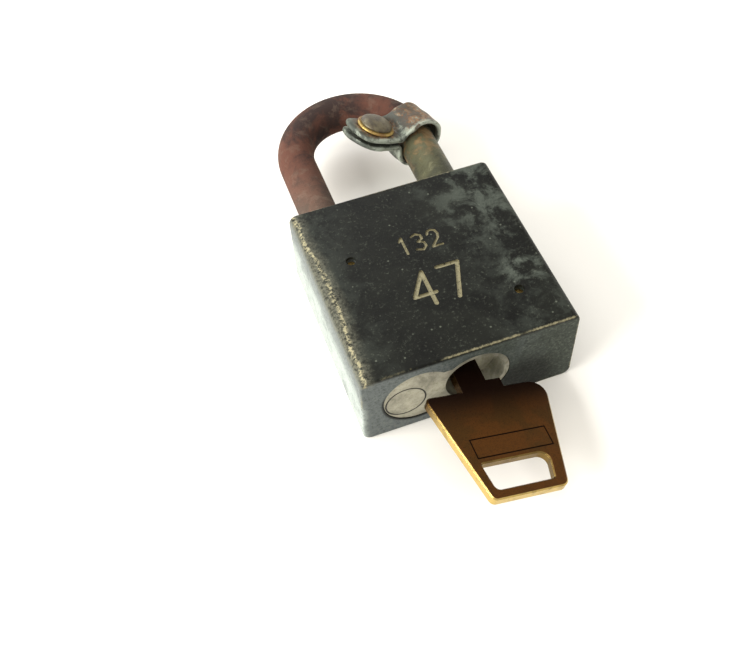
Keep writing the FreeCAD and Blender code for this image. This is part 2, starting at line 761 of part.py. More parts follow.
def cam_radii():
    """Radii of the cam's outline, so that each side stays just inside its ball's path.

    The ball's centre lies at a distance that falls evenly with the turn.  Seen from the
    turning cam the ball sweeps back round it, so the radius in any direction is the least
    distance to the ball over the whole quarter turn.  Each corner then takes the least of
    itself and its neighbours, so that the straight sides between corners stay inside too.
    """
    ball = VALUES["ball_dia"] / 2 + VALUES["cam_gap"]
    plug_x = VALUES["plug_x"]
    quarter = math.pi / 2
    sides = (
        (math.pi, plug_x - number(TOE_BALL_X), VALUES["toe_ball_travel"]),
        (0.0, number(HEEL_BALL_X) - plug_x, VALUES["heel_ball_travel"]),
    )
    limit = max(start for _, start, _ in sides) - ball

    def nearest(direction):
        least = limit
        for rest_direction, start, travel in sides:
            for step in range(TURN_STEPS + 2):
                turned = quarter * step / TURN_STEPS
                away = math.remainder(direction - rest_direction - turned, 2 * math.pi)
                distance = start - travel * turned / quarter
                reach = abs(distance * math.sin(away))
                if reach < ball and abs(away) < quarter:
                    near = distance * math.cos(away) - math.sqrt(ball ** 2 - reach ** 2)
                    least = min(least, near)
        return max(least, VALUES["actuator_shaft_radius"] * 0.75)

    radii = [nearest(2 * math.pi * step / CAM_CORNERS) for step in range(CAM_CORNERS)]
    return [min(radii[place - 1], radius, radii[(place + 1) % CAM_CORNERS])
            for place, radius in enumerate(radii)]


def make_actuator():
    """Actuator turned by the plug's tang, with the cam that backs both balls."""
    base = along_y("actuator_base", "actuator_base_radius", f"{BOTTOM} + actuator_base_start",
                   "actuator_base_length", "plug_x", MID)
    shaft = along_y("actuator_shaft", "actuator_shaft_radius", f"{BOTTOM} + actuator_base_start + 1",
                    "actuator_end - actuator_base_start - 1", "plug_x", MID)
    points = []
    for step, reach in enumerate(cam_radii()):
        direction = 2 * math.pi * step / CAM_CORNERS
        points.append(Vector(reach * math.cos(direction), 0, reach * math.sin(direction)))
    outline = Part.makePolygon(points + points[:1])
    row = number(BALL_ROW)
    middle = Vector(VALUES["plug_x"], row - VALUES["cam_half_length"], number(MID))
    cam = doc.addObject("Part::Feature", "cam_plate")
    cam.Shape = Part.Face(outline).extrude(Y_AXIS * 2 * VALUES["cam_half_length"])
    cam.Placement = Placement(middle, Rotation())
    solid = doc.addObject("Part::MultiFuse", "actuator_solid")
    solid.Shapes = [base, shaft, cam]
    slot = doc.addObject("Part::Box", "tang_slot")
    bind(slot, Length="tang_span + 0.4", Width="tang_length + 1", Height="tang_width + 0.2",
         Placement__Base__x="plug_x - tang_span / 2 - 0.2",
         Placement__Base__y=f"{BOTTOM} + actuator_base_start - 1",
         Placement__Base__z=f"{MID} - tang_width / 2 - 0.1")
    actuator = doc.addObject("Part::Cut", "actuator")
    actuator.Base = solid
    actuator.Tool = slot
    return actuator


def make_cylinder_screw():
    """Slotted screw at the foot of the toe bore; it holds the whole cylinder in."""
    web_top = f"{TOP} - toe_bore_depth"
    shank = along_y("screw_shank", "screw_dia / 2", f"{web_top} - screw_length", "screw_length + 0.5",
                    "screw_x", MID)
    head = along_y("screw_head", "screw_head_dia / 2", web_top, "screw_head_length", "screw_x", MID)
    solid = doc.addObject("Part::MultiFuse", "screw_solid")
    solid.Shapes = [shank, head]
    slot = doc.addObject("Part::Box", "screw_slot")
    bind(slot, Length="screw_head_dia + 2", Width="screw_head_length", Height="screw_slot_width",
         Placement__Base__x="screw_x - screw_head_dia / 2 - 1",
         Placement__Base__y=f"{web_top} + screw_head_length / 2",
         Placement__Base__z=f"{MID} - screw_slot_width / 2")
    screw = doc.addObject("Part::Cut", "cylinder_screw")
    screw.Base = solid
    screw.Tool = slot
    return screw


def make_hole_disc():
    return along_y("screw_hole_disc", "disc_dia / 2", f"{BOTTOM} + housing_recess",
                   "disc_thick - 0.05", "screw_x", f"{MID} - disc_drop")


def make_channel_plug():
    """Pressed plug that closes the ball drilling on the heel side."""
    plug = named(doc.addObject("Part::Cylinder", "ball_hole_plug"), "ball_hole_plug")
    plug.Placement = Placement(Vector(), Rotation(Y_AXIS, 90))
    bind(plug, Radius="ball_channel_dia / 2 - press_clear", Height="channel_plug_length",
         Placement__Base__x="body_width / 2 - channel_plug_length - 0.1",
         Placement__Base__y=BALL_ROW, Placement__Base__z=MID)
    return plug


# ---------------------------------------------------------------- key

def make_key():
    """Flat brass key drawn across the tilted plug frame: local X is the pin direction."""
    body = new_body("key_blank")
    # In the local frame +X runs along the pins, +Y towards the shackle, +Z through the key.
    blank = new_sketch(body, "key_outline", "XY_Plane")
    shoulder = "0 - bow_gap"
    end = "0 - bow_gap - bow_length"
    neck_top = "0 - bow_gap + neck_length"
    tip = "plug_recess + blade_length"
    outline = [("shoulder_left", shoulder), ("blade_high", shoulder),
               ("blade_high", "plug_recess + 0.7")]
    outline += key_cuts()
    outline += [
        ("0 - blade_low + 0.8", tip), ("0 - blade_low", f"{tip} - 2.2"),
        ("0 - blade_low", neck_top), ("0 - neck_low", neck_top), ("0 - neck_low", shoulder),
        ("0 - shoulder_right", shoulder), ("0 - bow_end_right", end), ("bow_end_left", end),
    ]
    add_polygon(blank, outline)
    pad(body, blank, "key_plate", "key_thick", centred=True)

    near, far = "0 - bow_gap - slot_start", "0 - bow_gap - slot_start - slot_length"
    window = new_sketch(body, "bow_window", "XY_Plane", "0 - key_thick")
    add_polygon(window, [("0 - slot_near_right", near), ("slot_near_left", near),
                         ("slot_far_left", far), ("0 - slot_far_right", far)])
    pocket(body, window, "window_cut", "3 * key_thick", backwards=True)

    # The bow's corners and its window's corners, each with its own radius.
    corners = (
        ("shoulder_left", shoulder, 1.3), ("0 - shoulder_right", shoulder, 3.6),
        ("bow_end_left", end, 1.3), ("0 - bow_end_right", end, 1.9),
        ("slot_near_left", near, 0.5), ("0 - slot_near_right", near, 2.0),
        ("slot_far_left", far, 1.3), ("0 - slot_far_right", far, 0.7),
    )
    for place, (across, along, radius) in enumerate(corners, start=1):
        spot = Vector(number(across), number(along), 0)

        def at_spot(edge):
            middle = edge.BoundBox.Center
            upright = edge.BoundBox.ZLength > VALUES["key_thick"] * 0.9
            return upright and math.hypot(middle.x - spot.x, middle.y - spot.y) < 0.1

        round_edges(body, "Fillet", f"corner_{place}", at_spot, f"{radius} + 0 * key_thick")

    faces = (("front", "0 - key_thick / 2", True), ("back", "key_thick / 2", False))
    for side, offset, backwards in faces:
        panel = new_sketch(body, f"{side}_panel", "XY_Plane", offset)
        for inset in ("0 * panel_line", "panel_line"):
            low = f"0 - bow_gap - panel_start - panel_length + {inset}"
            high = f"0 - bow_gap - panel_start - {inset}"
            left, right = f"{inset} - panel_half", f"panel_half - {inset}"
            add_polygon(panel, [(left, low), (right, low), (right, high), (left, high)])
        pocket(body, panel, f"{side}_panel_line", "panel_cut", backwards=backwards)

    groove = new_sketch(body, "blade_groove", "XZ_Plane", "0 - plug_recess")
    wide = "blade_groove_width / 2"
    left, right = f"blade_groove_middle - {wide}", f"blade_groove_middle + {wide}"
    add_polygon(groove, [(left, "key_thick / 2 - blade_groove_depth"),
                         (right, "key_thick / 2 - blade_groove_depth"),
                         (right, "key_thick"), (left, "key_thick")])
    pocket(body, groove, "groove_cut", "blade_length + 2")

    def bow_rim(edge):
        centre = edge.BoundBox.Center
        flat = edge.BoundBox.ZLength < 0.01
        outer = abs(abs(centre.z) - VALUES["key_thick"] / 2) < 0.01
        bow = edge.BoundBox.YMax < -VALUES["bow_gap"] + 0.01
        inner = (abs(centre.x) < 1 and number(far) - 0.2 < centre.y < -VALUES["bow_gap"] - 5)
        in_width = max(edge.BoundBox.XMax, -edge.BoundBox.XMin) < VALUES["panel_half"] + 0.1
        panel = in_width and number(near) + 0.5 < centre.y < -VALUES["bow_gap"] - 2
        return flat and outer and bow and not panel and not inner

    round_edges(body, "Chamfer", "bow_rims", bow_rim, "bow_edge_round")
    body.Placement = tilted(-VALUES["body_height"] / 2)
    body.Label = "key"
    return body


def key_cuts():
    """Outline of the bitted edge: flats under the pins joined by short slopes."""
    flat = 0.9
    corners = []
    last = int(VALUES["pin_count"]) - 1
    for place in range(last + 1):
        middle = f"pin_first_depth + {place} * pin_pitch"
        height = f"first_cut_height - {place} * cut_step"
        corners.append((height, f"{middle} - pin_dia / 2 - 0.25"))
        corners.append((height, f"{middle} + {flat}"))
    corners.append((f"first_cut_height - {last} * cut_step - 1.6", "plug_recess + blade_length"))
    return corners


# ---------------------------------------------------------------- clevis

def clevis_frame():
    """Local frame of the clevis: X towards its ears, Y up through them, Z along the bar."""
    lift = VALUES["body_height"] / 2 + VALUES["arc_rise"]
    half = VALUES["leg_spacing"] / 2
    place = math.radians(VALUES["clevis_angle"])
    yaw = math.radians(VALUES["clevis_yaw"])
    along = Vector(-math.sin(yaw), math.cos(yaw), 0)
    inward = Vector(-math.cos(yaw), -math.sin(yaw), 0)
    centre = Vector(half * math.cos(place), lift + half * math.sin(place), number(MID))
    centre += inward * VALUES["clevis_inset"]
    turn = Rotation(inward, Z_AXIS, along, "XYZ")
    roll = Rotation(Z_AXIS, VALUES["clevis_roll"])
    return Placement(centre, turn * roll)


def make_clevis_strap():
    body = new_body("clevis_strap")
    low = -VALUES["strap_low"]
    ring = new_sketch(body, "band_ring", "XY_Plane", "0 - strap_low")
    add_circle(ring, "0 * strap_thick", "0 * strap_thick", "strap_inner_radius + strap_thick")
    add_circle(ring, "0 * strap_thick", "0 * strap_thick", "strap_inner_radius")
    pad(body, ring, "band", "band_width")
    ears = new_sketch(body, "ears_side", "XY_Plane", "0 - strap_low")
    root, top, foot = "strap_inner_radius + strap_thick / 2", "ear_gap / 2 + strap_thick", \
        "0 - ear_gap / 2 - strap_thick"
    add_polygon(ears, [(root, foot), ("ear_reach", foot), ("ear_reach", top), (root, top)])
    pad(body, ears, "ears", "ear_width")
    gap = new_sketch(body, "ear_gap_side", "XY_Plane", "0 - strap_low - 1")
    add_polygon(gap, [("strap_inner_radius / 2", "0 - ear_gap / 2"), ("ear_reach + 1", "0 - ear_gap / 2"),
                      ("ear_reach + 1", "ear_gap / 2"), ("strap_inner_radius / 2", "ear_gap / 2")])
    pocket(body, gap, "ear_gap_cut", "ear_width + 2", backwards=True)

    def corner_edges(along):
        def test(edge):
            centre = edge.BoundBox.Center
            upright = edge.BoundBox.YLength > VALUES["strap_thick"] * 0.9
            short = edge.BoundBox.YLength < VALUES["strap_thick"] * 1.1
            far = centre.x > VALUES["ear_reach"] - 0.1
            return upright and short and far and abs(centre.z - along) < 0.1
        return test

    round_edges(body, "Fillet", "ear_corners", corner_edges(low), "ear_corner")
    round_edges(body, "Fillet", "ear_tips", corner_edges(low + VALUES["ear_width"]),
                "ear_tip_corner")
    hole = new_sketch(body, "rivet_hole", "XZ_Plane", "0 - 5 * ear_gap")
    add_circle(hole, "rivet_reach", "0 * ear_gap", "rivet_shank_dia / 2 + 0.05")
    pocket(body, hole, "rivet_hole_cut", "10 * ear_gap", backwards=True)
    body.Placement = clevis_frame()
    return body


def make_clevis_rivet():
    """Domed rivet: round head above the washer, shank, and a flat closed head below."""
    body = new_body("clevis_rivet")
    outline = new_sketch(body, "rivet_outline", "XY_Plane")
    ear_top = VALUES["ear_gap"] / 2 + VALUES["strap_thick"]
    head_base = ear_top + 0.05 + VALUES["washer_thick"] + 0.02
    tail_top = -ear_top - 0.05
    reach = VALUES["rivet_reach"]
    rise = VALUES["rivet_head_rise"]
    head = VALUES["rivet_head_radius"]
    shank = VALUES["rivet_shank_dia"] / 2
    dome = (head ** 2 + rise ** 2) / (2 * rise)
    middle = Vector(reach, head_base + rise - dome, 0)
    start = math.atan2(dome - rise, head)
    cap = Part.ArcOfCircle(Part.Circle(middle, Z_AXIS, dome), start, math.pi / 2)
    spots = [
        Vector(reach, head_base + rise, 0), Vector(reach, tail_top - 1.0, 0),
        Vector(reach + shank + 0.7, tail_top - 1.0, 0), Vector(reach + shank + 1.2, tail_top - 0.6, 0),
        Vector(reach + shank + 1.2, tail_top, 0), Vector(reach + shank, tail_top, 0),
        Vector(reach + shank, head_base, 0), Vector(reach + head, head_base, 0),
    ]
    for start_spot, end_spot in zip(spots, spots[1:]):
        outline.addGeometry(Part.LineSegment(start_spot, end_spot), False)
    outline.addGeometry(cap, False)
    last = len(spots) - 1
    for line in range(last + 1):
        after = (line + 1) % (last + 1)
        outline.addConstraint(Sketcher.Constraint("Coincident", line, 2, after, 1))
    turned = body.newObject("PartDesign::Revolution", "turned_rivet")
    turned.Profile = outline
    turned.ReferenceAxis = (outline, ["Edge1"])
    turned.Angle = 360
    body.Placement = clevis_frame()
    return body


def make_clevis_washer():
    body = new_body("clevis_washer")
    ring = new_sketch(body, "washer_ring", "XZ_Plane", "0 - (ear_gap / 2 + strap_thick + 0.05)")
    add_circle(ring, "rivet_reach", "0 * ear_gap", "washer_radius")
    add_circle(ring, "rivet_reach", "0 * ear_gap", "rivet_shank_dia / 2 + 0.05")
    pad(body, ring, "washer_plate", "washer_thick", backwards=True)
    body.Placement = clevis_frame()
    return body


# ---------------------------------------------------------------- build and export

PIECES = [
    make_lock_body(),
    make_housing(),
    make_chamber_cap(),
    make_pin_springs(),
    make_cylinder_screw(),
    make_hole_disc(),
    make_channel_plug(),
    make_shackle(),
    make_shackle_spring(),
    make_spring_seat(),
    dowel("screw_lock_pin", f"0 - {LEG}", "lock_pin_y", f"({MID} + screw_dia / 2 + 0.4)"),
    dowel("spring_stop_pin", LEG, "stop_pin_y", "3.2"),
    make_plug(),
    make_plug_clip(),
    make_actuator(),
    make_key(),
    make_clevis_strap(),
    make_clevis_rivet(),
    make_clevis_washer(),
]
PIECES += make_pins()
PIECES += make_balls()

doc.recompute()
faults = [item.Name for item in doc.Objects if "Invalid" in item.State or "Error" in item.State]
if faults:
    raise RuntimeError(f"failed objects: {faults}")
os.makedirs("parts", exist_ok=True)
for piece in PIECES:
    shape = piece.Shape
    if shape.isNull() or not shape.isValid() or not shape.Solids:
        raise RuntimeError(f"{piece.Label} has no valid solid")
    shape.exportStep(f"parts/{piece.Label}.step")
    print(f"{piece.Label}: {len(shape.Solids)} solid(s), {shape.Volume:.1f} mm3")
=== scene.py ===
import json
import math

import bmesh
import bpy
import numpy as np
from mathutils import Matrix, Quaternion, Vector


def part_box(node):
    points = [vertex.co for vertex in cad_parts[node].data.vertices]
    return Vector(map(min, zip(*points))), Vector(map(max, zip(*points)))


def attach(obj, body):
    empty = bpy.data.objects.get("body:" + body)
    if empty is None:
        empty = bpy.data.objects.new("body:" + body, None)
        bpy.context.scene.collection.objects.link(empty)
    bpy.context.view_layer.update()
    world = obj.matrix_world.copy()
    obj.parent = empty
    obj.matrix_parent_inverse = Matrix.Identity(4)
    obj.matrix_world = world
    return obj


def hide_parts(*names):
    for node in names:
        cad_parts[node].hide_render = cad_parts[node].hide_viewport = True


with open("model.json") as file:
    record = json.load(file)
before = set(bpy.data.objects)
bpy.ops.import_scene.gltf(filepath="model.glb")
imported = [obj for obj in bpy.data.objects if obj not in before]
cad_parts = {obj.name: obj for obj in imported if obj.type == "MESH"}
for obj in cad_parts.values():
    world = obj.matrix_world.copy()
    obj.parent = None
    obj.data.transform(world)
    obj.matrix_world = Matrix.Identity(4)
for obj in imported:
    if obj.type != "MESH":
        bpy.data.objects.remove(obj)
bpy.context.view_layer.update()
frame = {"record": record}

# ---- The table -----------------------------------------------------------------------
# One wide sheet of smooth white card that the padlock lies on. It curves up far behind
# the lock, so that no edge of it shows.

CARD_HALF_WIDTH = 3.0
CARD_FRONT = -2.5
CARD_BEND = 1.6
CARD_BEND_LENGTH = 1.5
CARD_RISE = 2.2
CARD_ROWS, CARD_COLUMNS = 60, 9
CARD_WHITE = (0.93, 0.905, 0.85, 1.0)
CARD_ROUGHNESS = 0.6
MERGE_GAP = 1e-7


def grid_mesh(name, points, ring=False):
    """Mesh from a grid of points, rows by columns: each cell of the grid is one quad.

    With ring set, the last column joins back to the first. Points that coincide at a pole
    or a closed end are merged, and every face is then turned outwards.
    """
    rows, columns, _ = points.shape
    row, column = np.meshgrid(np.arange(rows - 1), np.arange(columns if ring else columns - 1),
                              indexing="ij")
    after = (column + 1) % columns
    quads = np.stack([row * columns + column, (row + 1) * columns + column,
                      (row + 1) * columns + after, row * columns + after], axis=-1)
    mesh = bpy.data.meshes.new(name)
    mesh.from_pydata(points.reshape(-1, 3).tolist(), [], quads.reshape(-1, 4).tolist())
    if ring:
        work = bmesh.new()
        work.from_mesh(mesh)
        bmesh.ops.remove_doubles(work, verts=work.verts, dist=MERGE_GAP)
        bmesh.ops.recalc_face_normals(work, faces=work.faces)
        work.to_mesh(mesh)
        work.free()
    mesh.polygons.foreach_set("use_smooth", np.ones(len(mesh.polygons), dtype=bool))
    mesh.update()
    return mesh


def set_out(name, mesh, material):
    """The mesh as an object at the origin, in one material."""
    piece = bpy.data.objects.new(name, mesh)
    bpy.context.scene.collection.objects.link(piece)
    mesh.materials.append(material)
    return piece


def add(tree, kind, inputs=None, **settings):
    """One shader node: settings are its own options, inputs are values or other sockets."""
    made = tree.nodes.new(kind)
    for option, value in settings.items():
        setattr(made, option, value)
    for socket, value in (inputs or {}).items():
        if isinstance(value, bpy.types.NodeSocket):
            tree.links.new(value, made.inputs[socket])
        else:
            made.inputs[socket].default_value = value
    return made


def new_finish(name, **values):
    """A new material: returns it with its tree and its Principled shader, values set."""
    material = bpy.data.materials.new(name)
    material.use_nodes = True
    shader = material.node_tree.nodes["Principled BSDF"]
    for socket, value in values.items():
        shader.inputs[socket.replace("_", " ")].default_value = value
    return material, material.node_tree, shader


across = np.linspace(CARD_HALF_WIDTH, -CARD_HALF_WIDTH, CARD_COLUMNS)
run = np.linspace(CARD_FRONT, CARD_BEND + CARD_BEND_LENGTH, CARD_ROWS)
bend = np.clip((run - CARD_BEND) / CARD_BEND_LENGTH, 0.0, 1.0)
card_points = np.zeros((CARD_ROWS, CARD_COLUMNS, 3))
card_points[..., 0] = across[None, :]
card_points[..., 1] = run[:, None]
card_points[..., 2] = (CARD_RISE * (1.0 - np.cos(bend * math.pi / 2)))[:, None]
card_white, _, _ = new_finish("card_white", Base_Color=CARD_WHITE, Roughness=CARD_ROUGHNESS)
card = set_out("white_card", grid_mesh("white_card", card_points), card_white)

# ---- Light and camera ----------------------------------------------------------------
# A bright, low window on the left with a softer one behind, in a pale room, so that the
# card stays white and the shadow falls soft and warm to the right. The camera has a
# 48 mm lens and stands about 25 cm off, in front of the key end and to the left.

ROOM_COLOUR = (1.0, 0.975, 0.93, 1.0)
ROOM_STRENGTH = 0.95
CAMERA_PLACE = Vector((-0.05427, -0.13370, 0.19586))
CAMERA_LOOK = Vector((0.1730, 0.5666, -0.8056))
CAMERA_ROLL = math.radians(-3.57)
LENS_LENGTH = 47.9
SENSOR_WIDTH = 36.0
NEAREST, FARTHEST = 0.01, 20.0

room = bpy.data.worlds.new("pale_room")
room.use_nodes = True
room.node_tree.nodes["Background"].inputs["Color"].default_value = ROOM_COLOUR
room.node_tree.nodes["Background"].inputs["Strength"].default_value = ROOM_STRENGTH
bpy.context.scene.world = room


def soft_window(name, centre, width, height, power, colour):
    """Rectangular area light at centre, facing the lock."""
    lamp = bpy.data.lights.new(name, "AREA")
    lamp.shape = "RECTANGLE"
    lamp.size = width
    lamp.size_y = height
    lamp.energy = power
    lamp.color = colour
    stand = bpy.data.objects.new(name, lamp)
    stand.location = centre
    stand.rotation_euler = (-Vector(centre)).to_track_quat("-Z", "Y").to_euler()
    bpy.context.scene.collection.objects.link(stand)


soft_window("left_window", centre=(-0.80, -0.10, 0.42), width=0.60, height=0.50, power=13.0,
            colour=(1.0, 0.99, 0.96))
soft_window("back_window", centre=(-0.15, 0.95, 0.70), width=0.80, height=0.50, power=7.0,
            colour=(0.95, 0.98, 1.0))

viewer = bpy.data.cameras.new("viewer")
viewer.lens = LENS_LENGTH
viewer.sensor_width = SENSOR_WIDTH
viewer.clip_start = NEAREST
viewer.clip_end = FARTHEST
tripod = bpy.data.objects.new("viewer", viewer)
tripod.location = CAMERA_PLACE
tripod.rotation_mode = "QUATERNION"
tripod.rotation_quaternion = (CAMERA_LOOK.to_track_quat("-Z", "Y")
                              @ Quaternion((0.0, 0.0, 1.0), CAMERA_ROLL))
bpy.context.scene.collection.objects.link(tripod)
bpy.context.scene.camera = tripod
bpy.context.scene.view_settings.view_transform = "Standard"

# ---- The lock body -------------------------------------------------------------------
# One block of hardened steel, milled, drilled and stamped, then blackened with an oxide
# film. The film is mottled with blue-grey stains, and handling has rubbed it down to
# pale metal along the edges and round the stamped numbers.


def middle_of(box):
    """The middle of a box given by its lowest and highest corners."""
    return tuple((low + high) / 2 for low, high in zip(*box))


BODY_LOW, BODY_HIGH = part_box("lock_body")
BODY_MIDDLE = middle_of(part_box("lock_body"))
BODY_HALF = tuple((high - low) / 2 for low, high in zip(BODY_LOW, BODY_HIGH))
FRONT = BODY_HIGH[2]
LOBE_RADIUS = 0.00815
LOBE_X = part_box("cylinder_housing")[0][0] + LOBE_RADIUS

BLACK_FILM_AND_SHADE = (0.0018, 0.0020, 0.0013, 1.0)
GREY_FILM = (0.0074, 0.0081, 0.0057, 1.0)
BLUE_STAIN = (0.092, 0.106, 0.086, 1.0)
CHALK_SPECK = (0.20, 0.22, 0.17, 1.0)
RUBBED_METAL = (0.40, 0.36, 0.22, 1.0)
WORN_HAZE = (0.19, 0.185, 0.135, 1.0)
SIDE_DARK_SHADED = (0.034, 0.042, 0.032, 1.0)
SIDE_BLUE_LIT = (0.105, 0.120, 0.118, 1.0)
SIDE_PALE_LIT = (0.345, 0.385, 0.360, 1.0)

# Each pair is where a patch begins and where it is full, in metres: along an axis, from
# the middle of the patch, or down from the stamped face where the name ends in DEPTH.
MOTTLE_SIZE = 0.013
STAIN_SIZE = 0.007
LEG_STAIN_X = (-0.002, 0.020)
LEG_STAIN_Y = (-0.012, 0.012)
HOLE_STAIN = (0.0195, -0.0085, FRONT)
HOLE_STAIN_REACH = (0.0085, 0.0010)
OUTER_STAIN_X = -0.004
OUTER_STAIN_REACH = (0.004, 0.022)
SIDE_LIGHT_RAMP_X = (0.030, -0.012)
SIDE_LIGHT_RAMP_WANDER = 0.012
TOE_SIDE_LIGHT_X = (-0.0236, -0.0252)
TOE_SIDE_LIGHT_DEPTH = (-0.0006, 0.0110)
TOE_SIDE_LIGHT_WANDER = 0.003
BOTTOM_DARK_SPOT = (0.0135, BODY_LOW[1], 0.0045)
BOTTOM_DARK_REACH = (0.0110, 0.0040)
LOBE_GAP_SHADE_RADII = (LOBE_RADIUS + 0.0009, LOBE_RADIUS + 0.0003)
LOBE_GAP_SHADE_HEIGHT = (0.002, -0.003)
LOBE_GAP_SHADE_SLANT = 0.5
FACE_DEPTH = (0.0014, 0.0004)
RUB_WIDTH = (0.00105, 0.00055)
RUB_RAGGED = 0.0011
RUB_PER_METRE = 18.0
STREAK_FROM_EDGE = 0.0007
STREAK_BOW = 0.0011
STREAK_BOW_Y = (0.024, 0.004)
STREAK_WANDER = 0.0010
STREAK_WIDTH = (0.00075, 0.00010)
STREAK_DEPTH = (0.0016, 0.0009)
HAZE_WIDTH = (0.0032, -0.0004)
HAZE_DEPTH = (0.0022, 0.0009)
STROKE_TOP_DEPTH = (0.00003, 0.00012)
STROKE_FOOT_DEPTH = (0.0006, 0.0004)
STROKES_X = (0.0125, 0.0115)
STROKES_Y = (0.015, 0.014)
FILM_RELIEF = 0.00006

# How much finer grain and dots are than clouds, how sharp their rims are, how rare dots
# are, and how much the pits count beside the grain.
GRAIN_FINER = 11.0
DOTS_FINER = 6.5
CLOUD_RIM = (0.32, 0.68)
DOT_RIM = (0.16, 0.05)
DOT_CHANCE = (0.80, 0.90)
PIT_RIM = (0.0, 0.35)
PIT_SHARE = 0.5


def blend(tree, amount, first, second):
    """Colour mix: first where amount is 0, second where it is 1."""
    made = add(tree, "ShaderNodeMix", {0: amount, 6: first, 7: second}, data_type="RGBA")
    return made.outputs[2]


def reckon(tree, operation, *values):
    """Math node on one to three values."""
    return add(tree, "ShaderNodeMath", dict(enumerate(values)), operation=operation).outputs[0]


def times(tree, product, *factors):
    """Product of all the values."""
    for factor in factors:
        product = reckon(tree, "MULTIPLY", product, factor)
    return product


def largest(tree, most, *others):
    """Largest of the values."""
    for other in others:
        most = reckon(tree, "MAXIMUM", most, other)
    return most


def away(tree, value, centre):
    """Distance of a value from a centre, on one axis."""
    return reckon(tree, "ABSOLUTE", reckon(tree, "SUBTRACT", value, centre))


def reach(tree, one, other):
    """Distance from the origin of two offsets at right angles."""
    return reckon(tree, "SQRT", reckon(tree, "MULTIPLY_ADD", one, one, times(tree, other, other)))


def distance(tree, spot, point):
    """Distance from a point in space."""
    made = add(tree, "ShaderNodeVectorMath", {0: spot, 1: point}, operation="DISTANCE")
    return made.outputs["Value"]


def rise(tree, value, low, high, top=1.0):
    """0 up to low, then a smooth rise to top at high; low above high makes a fall."""
    made = add(tree, "ShaderNodeMapRange", {0: value, 1: low, 2: high, 3: 0.0, 4: top},
               interpolation_type="SMOOTHSTEP")
    return made.outputs[0]


def place_on(tree):
    """Object coordinates in metres."""
    return add(tree, "ShaderNodeTexCoord").outputs["Object"]


def parts_of(tree, vector):
    """The three parts of a vector."""
    return list(add(tree, "ShaderNodeSeparateXYZ", {0: vector}).outputs)


def make_weather():
    """Node group: patches and grain that age puts on any metal.

    Cloud is slow mottling, Grain is fine noise, Speck is sparse small dots, Pits is a
    height made of grain and shallow round pits. Size is the width of a cloud in metres.
    """
    tree = bpy.data.node_groups.new("weather", "ShaderNodeTree")
    tree.interface.new_socket("Size", in_out="INPUT", socket_type="NodeSocketFloat")
    tree.interface.new_socket("Shift", in_out="INPUT", socket_type="NodeSocketVector")
    for name in ("Cloud", "Grain", "Speck", "Pits"):
        tree.interface.new_socket(name, in_out="OUTPUT", socket_type="NodeSocketFloat")
    given = add(tree, "NodeGroupInput").outputs
    moved = add(tree, "ShaderNodeVectorMath", {0: place_on(tree), 1: given["Shift"]},
                operation="ADD").outputs[0]
    broad = reckon(tree, "DIVIDE", 1.0, given["Size"])
    fine = times(tree, broad, GRAIN_FINER)
    cloud = add(tree, "ShaderNodeTexNoise", {"Vector": moved, "Scale": broad, "Detail": 7.0,
                                             "Roughness": 0.68, "Distortion": 0.4}).outputs[0]
    grain = add(tree, "ShaderNodeTexNoise", {"Vector": moved, "Scale": fine, "Detail": 4.0,
                                             "Roughness": 0.7}).outputs[0]
    dots = add(tree, "ShaderNodeTexVoronoi", {"Vector": moved, "Randomness": 1.0,
                                              "Scale": times(tree, broad, DOTS_FINER)}).outputs
    lot = add(tree, "ShaderNodeSeparateColor", {0: dots["Color"]}).outputs[0]
    speck = times(tree, rise(tree, dots["Distance"], *DOT_RIM), rise(tree, lot, *DOT_CHANCE))
    pits = add(tree, "ShaderNodeTexVoronoi", {"Vector": moved, "Randomness": 1.0,
                                              "Scale": fine}).outputs
    hollow = rise(tree, pits["Distance"], *PIT_RIM)
    height = reckon(tree, "MULTIPLY_ADD", hollow, PIT_SHARE, grain)
    add(tree, "NodeGroupOutput", {"Cloud": rise(tree, cloud, *CLOUD_RIM), "Grain": grain,
                                  "Speck": speck, "Pits": height})
    return tree


weather_group = make_weather()


def weather(tree, size, shift=(0.0, 0.0, 0.0)):
    """The weather group placed in a material; returns its outputs by name."""
    placed = add(tree, "ShaderNodeGroup", node_tree=weather_group)
    placed.inputs["Size"].default_value = size
    placed.inputs["Shift"].default_value = shift
    return placed.outputs


def drive(tree, shader, **sources):
    """Links what changes over the surface to the shader's sockets."""
    for socket, source in sources.items():
        tree.links.new(source, shader.inputs[socket.replace("_", " ")])


def relief(tree, shader, height, depth, strength):
    """Bump on the shader's normal from a height, depth in metres."""
    bump = add(tree, "ShaderNodeBump", {"Height": height, "Distance": depth, "Strength": strength})
    drive(tree, shader, Normal=bump.outputs[0])


def wear(node, material):
    """Gives a node of the frame its material."""
    bpy.data.objects[node].material_slots[0].material = material


def face_film(tree, spot, mottle, stain):
    """Black film with blue-grey stains, grit and specks, as on the stamped face."""
    x, y, _ = parts_of(tree, spot)
    film = blend(tree, mottle["Cloud"], BLACK_FILM_AND_SHADE, GREY_FILM)
    # Stains gather towards the heel leg, beside the lower pin hole and, weakly, outwards.
    by_leg = times(tree, rise(tree, x, *LEG_STAIN_X), rise(tree, y, *LEG_STAIN_Y), 0.62)
    by_hole = rise(tree, distance(tree, spot, HOLE_STAIN), *HOLE_STAIN_REACH, 0.9)
    outwards = rise(tree, away(tree, x, OUTER_STAIN_X), *OUTER_STAIN_REACH, 0.20)
    stained = times(tree, rise(tree, stain["Cloud"], 0.25, 0.95),
                    largest(tree, by_leg, by_hole, outwards))
    film = blend(tree, stained, film, BLUE_STAIN)
    film = blend(tree, rise(tree, stain["Grain"], 0.54, 0.78, 0.26), film, CHALK_SPECK)
    return blend(tree, times(tree, mottle["Speck"], 0.4), film, CHALK_SPECK)


